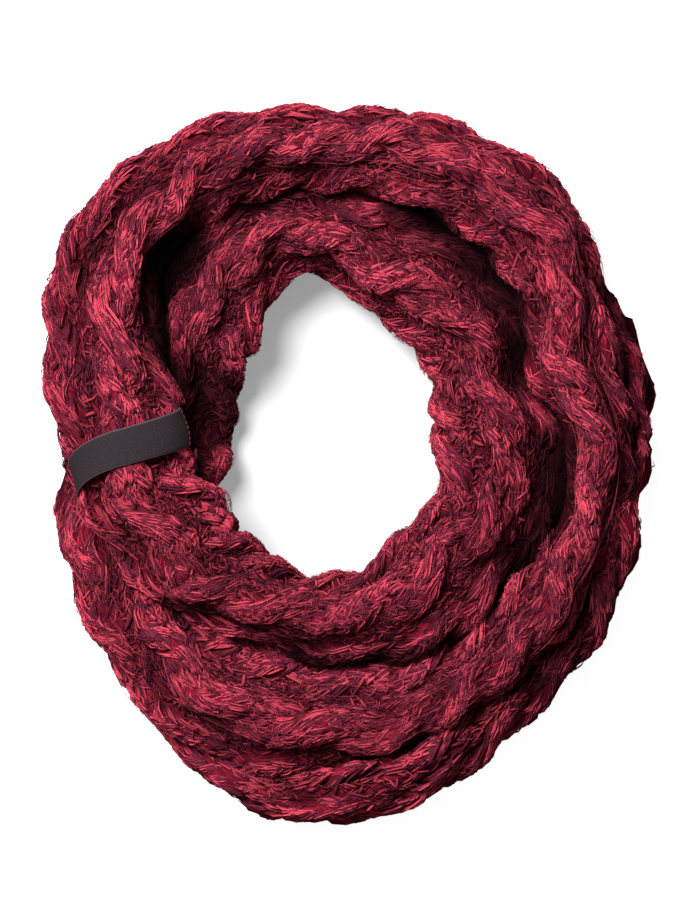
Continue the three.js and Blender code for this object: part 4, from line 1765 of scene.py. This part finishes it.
@dataclass(frozen=True)
class Studio:
    """A pale floor, one large soft light from the upper left, a weak fill, and the camera."""

    lens: float = 200.0
    sensor: float = 36.0
    pixel: float = 0.52
    frame_height: int = 923
    focus_height: float = 33.0
    aim: Pair = (7.09, -16.47)
    key_power: float = 96.0
    key_size: float = 1.0
    key_place: Triple = (-0.72, 0.84, 1.6)
    sky: Rgba = (1.0, 0.98, 1.0, 1.0)
    sky_strength: float = 0.3
    floor_half: float = 4.0
    floor_seen: float = 0.46
    floor_dim: float = 0.12
    # Painted light: the floor's glow, dim in the winding's hole and bright outside it, so the cast
    # shadow fades outside
    glow_inside: float = 0.27
    glow_outside: float = 0.9
    glow_ring: Pair = (95.0, 140.0)

    def floor(self) -> None:
        """A wide floor: white to the camera, and dim to other rays so that flanks stay dark."""
        mesh = bpy.data.meshes.new("floor")
        corners = ((-1, -1), (1, -1), (1, 1), (-1, 1))
        points = [(x * self.floor_half, y * self.floor_half, 0.0) for x, y in corners]
        mesh.from_pydata(points, [], [range(len(points))])
        floor = bpy.data.objects.new("floor", mesh)
        bpy.context.scene.collection.objects.link(floor)
        material, nodes, shader = start_material("Pale floor")
        material.node_tree.nodes.remove(shader)
        output = material.node_tree.nodes["Material Output"]
        seen = nodes.add("ShaderNodeBsdfDiffuse")
        nodes.fill(seen.inputs["Color"], grey(self.floor_seen))
        middle = nodes.add("ShaderNodeVectorMath", operation="SUBTRACT")
        nodes.fill(middle.inputs[0], nodes.add("ShaderNodeTexCoord").outputs["Object"])
        nodes.fill(middle.inputs[1], (WINDING.centre_x * MM, WINDING.centre_y * MM, 0.0))
        away = nodes.add("ShaderNodeVectorMath", operation="LENGTH")
        nodes.fill(away.inputs[0], middle.outputs[0])
        # Painted light: the floor glows more outside the winding than in its hole
        outside = nodes.ramp(away.outputs["Value"], *(place * MM for place in self.glow_ring))
        glow = nodes.add("ShaderNodeEmission")
        colour = nodes.mix(outside, grey(self.glow_inside), grey(self.glow_outside))
        nodes.fill(glow.inputs["Color"], colour)
        both = nodes.add("ShaderNodeAddShader")
        nodes.fill(both.inputs[0], seen.outputs[0])
        nodes.fill(both.inputs[1], glow.outputs[0])
        dim = nodes.add("ShaderNodeBsdfDiffuse")
        nodes.fill(dim.inputs["Color"], grey(self.floor_dim))
        choice = nodes.add("ShaderNodeMixShader")
        nodes.fill(choice.inputs[0], nodes.add("ShaderNodeLightPath").outputs["Is Camera Ray"])
        nodes.fill(choice.inputs[1], dim.outputs[0])
        nodes.fill(choice.inputs[2], both.outputs[0])
        nodes.fill(output.inputs["Surface"], choice.outputs[0])
        mesh.materials.append(material)

    def lights(self) -> None:
        """The key light, pointed at the scarf, and a dim even sky."""
        data = bpy.data.lights.new("key", "AREA")
        data.shape = "DISK"
        data.size = self.key_size
        data.energy = self.key_power
        key = bpy.data.objects.new("key", data)
        key.location = self.key_place
        direction = -np.array(self.key_place)
        key.rotation_euler = Vector(direction.tolist()).to_track_quat("-Z", "Y").to_euler()
        bpy.context.scene.collection.objects.link(key)
        world = bpy.data.worlds.new("sky")
        world.use_nodes = True
        background = world.node_tree.nodes["Background"]
        background.inputs["Color"].default_value = self.sky
        background.inputs["Strength"].default_value = self.sky_strength
        bpy.context.scene.world = world

    def camera(self) -> None:
        """A camera straight above the scarf, as far off as frames the photo's view."""
        data = bpy.data.cameras.new("camera")
        data.lens = self.lens
        data.sensor_width = self.sensor
        height = self.pixel * self.frame_height * self.lens / self.sensor + self.focus_height
        camera = bpy.data.objects.new("camera", data)
        middle_x = WINDING.centre_x + self.aim[0]
        middle_y = WINDING.centre_y + self.aim[1]
        camera.location = (middle_x * MM, middle_y * MM, height * MM)
        bpy.context.scene.collection.objects.link(camera)
        bpy.context.scene.camera = camera


# Loose fibres: piece, kind, and the travel where it starts and ends
FUZZ_SPANS = (
    ("outer_fibres", HAIRS, -20.0, 340.0),
    ("inner_fibres", HAIRS, 340.0, 700.0),
    ("outer_wisps", WISPS, 40.0, 300.0),
)


class Scarf:
    """The whole scarf, piece by piece."""

    def __init__(self) -> None:
        """Makes the finishes that the pieces share."""
        marl = Marl().build()
        self.stitch_finish = STITCH_YARN.build(marl)
        self.ground_finish = GROUND_YARN.build(marl)
        self.fuzz_finish = LOOSE_YARN.build(marl)
        self.tape_finish = TapeFinish().build()
        self.thread_finish = SEWING_YARN.build(marl)
        self.random = np.random.default_rng(SEED)

    def bed(self, ground: Ground, start: float, end: float, hidden: Hiding) -> Bed:
        """A length of a ground, with nothing gathered on it yet."""
        return Bed(ground, start, end, hidden, MeshParts(), self.random)

    def stretch(self, name: str, bed: Bed) -> None:
        """Makes one stretch: its cloth shell, and the stitches on it.

        Args:
            name: The node that the stretch replaces.
            bed: The length of ground that it follows.
        """
        shell, cut = Shell().build(name + "_cloth", bed, self.ground_finish)
        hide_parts(name)
        for layer in (Legs(), PurlBumps(), Floats()):
            layer.add(bed)
        knit = bed.parts.build(name + "_stitches", self.stitch_finish, Slot.KNIT)
        faces = len(knit.data.polygons)
        LOG.info("%s: cloth %.0f x %.0f mm, %d stitch faces", name, cut[0] / MM, cut[1] / MM, faces)

    def build(self) -> None:
        """Makes every stretch, the lower folds, the loose fibres and the label."""
        for name, start, end in STRETCHES:
            self.stretch(name, self.bed(TUBE, start, end, Hiding(in_roll=False)))
        fold = FoldGround(first_turn=135, last_turn=320)
        for name, start, end in LOWER_FOLDS:
            self.stretch(name, self.bed(fold, start, end, Hiding(in_roll=True)))
        for name, fuzz, start, end in FUZZ_SPANS:
            bed = self.bed(TUBE, start, end, Hiding(in_roll=False, depth=1.0))
            hairs = fuzz.build(name, bed, self.fuzz_finish)
            LOG.info("%s: %d faces", name, len(hairs.data.polygons))
        strip = LabelStrip()
        label = strip.build(self.tape_finish)
        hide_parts("label_band")
        strip.sew(self.thread_finish, self.random)
        LOG.info("label_tape: %d faces", len(label.data.polygons))


def main() -> None:
    """Builds the scarf round the frame, then the studio."""
    logging.basicConfig(level=logging.INFO, format="%(name)s: %(message)s")
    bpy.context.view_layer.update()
    Scarf().build()
    studio = Studio()
    studio.floor()
    studio.lights()
    studio.camera()
    bpy.context.scene.view_settings.view_transform = "Standard"


if __name__ == "__main__":
    main()
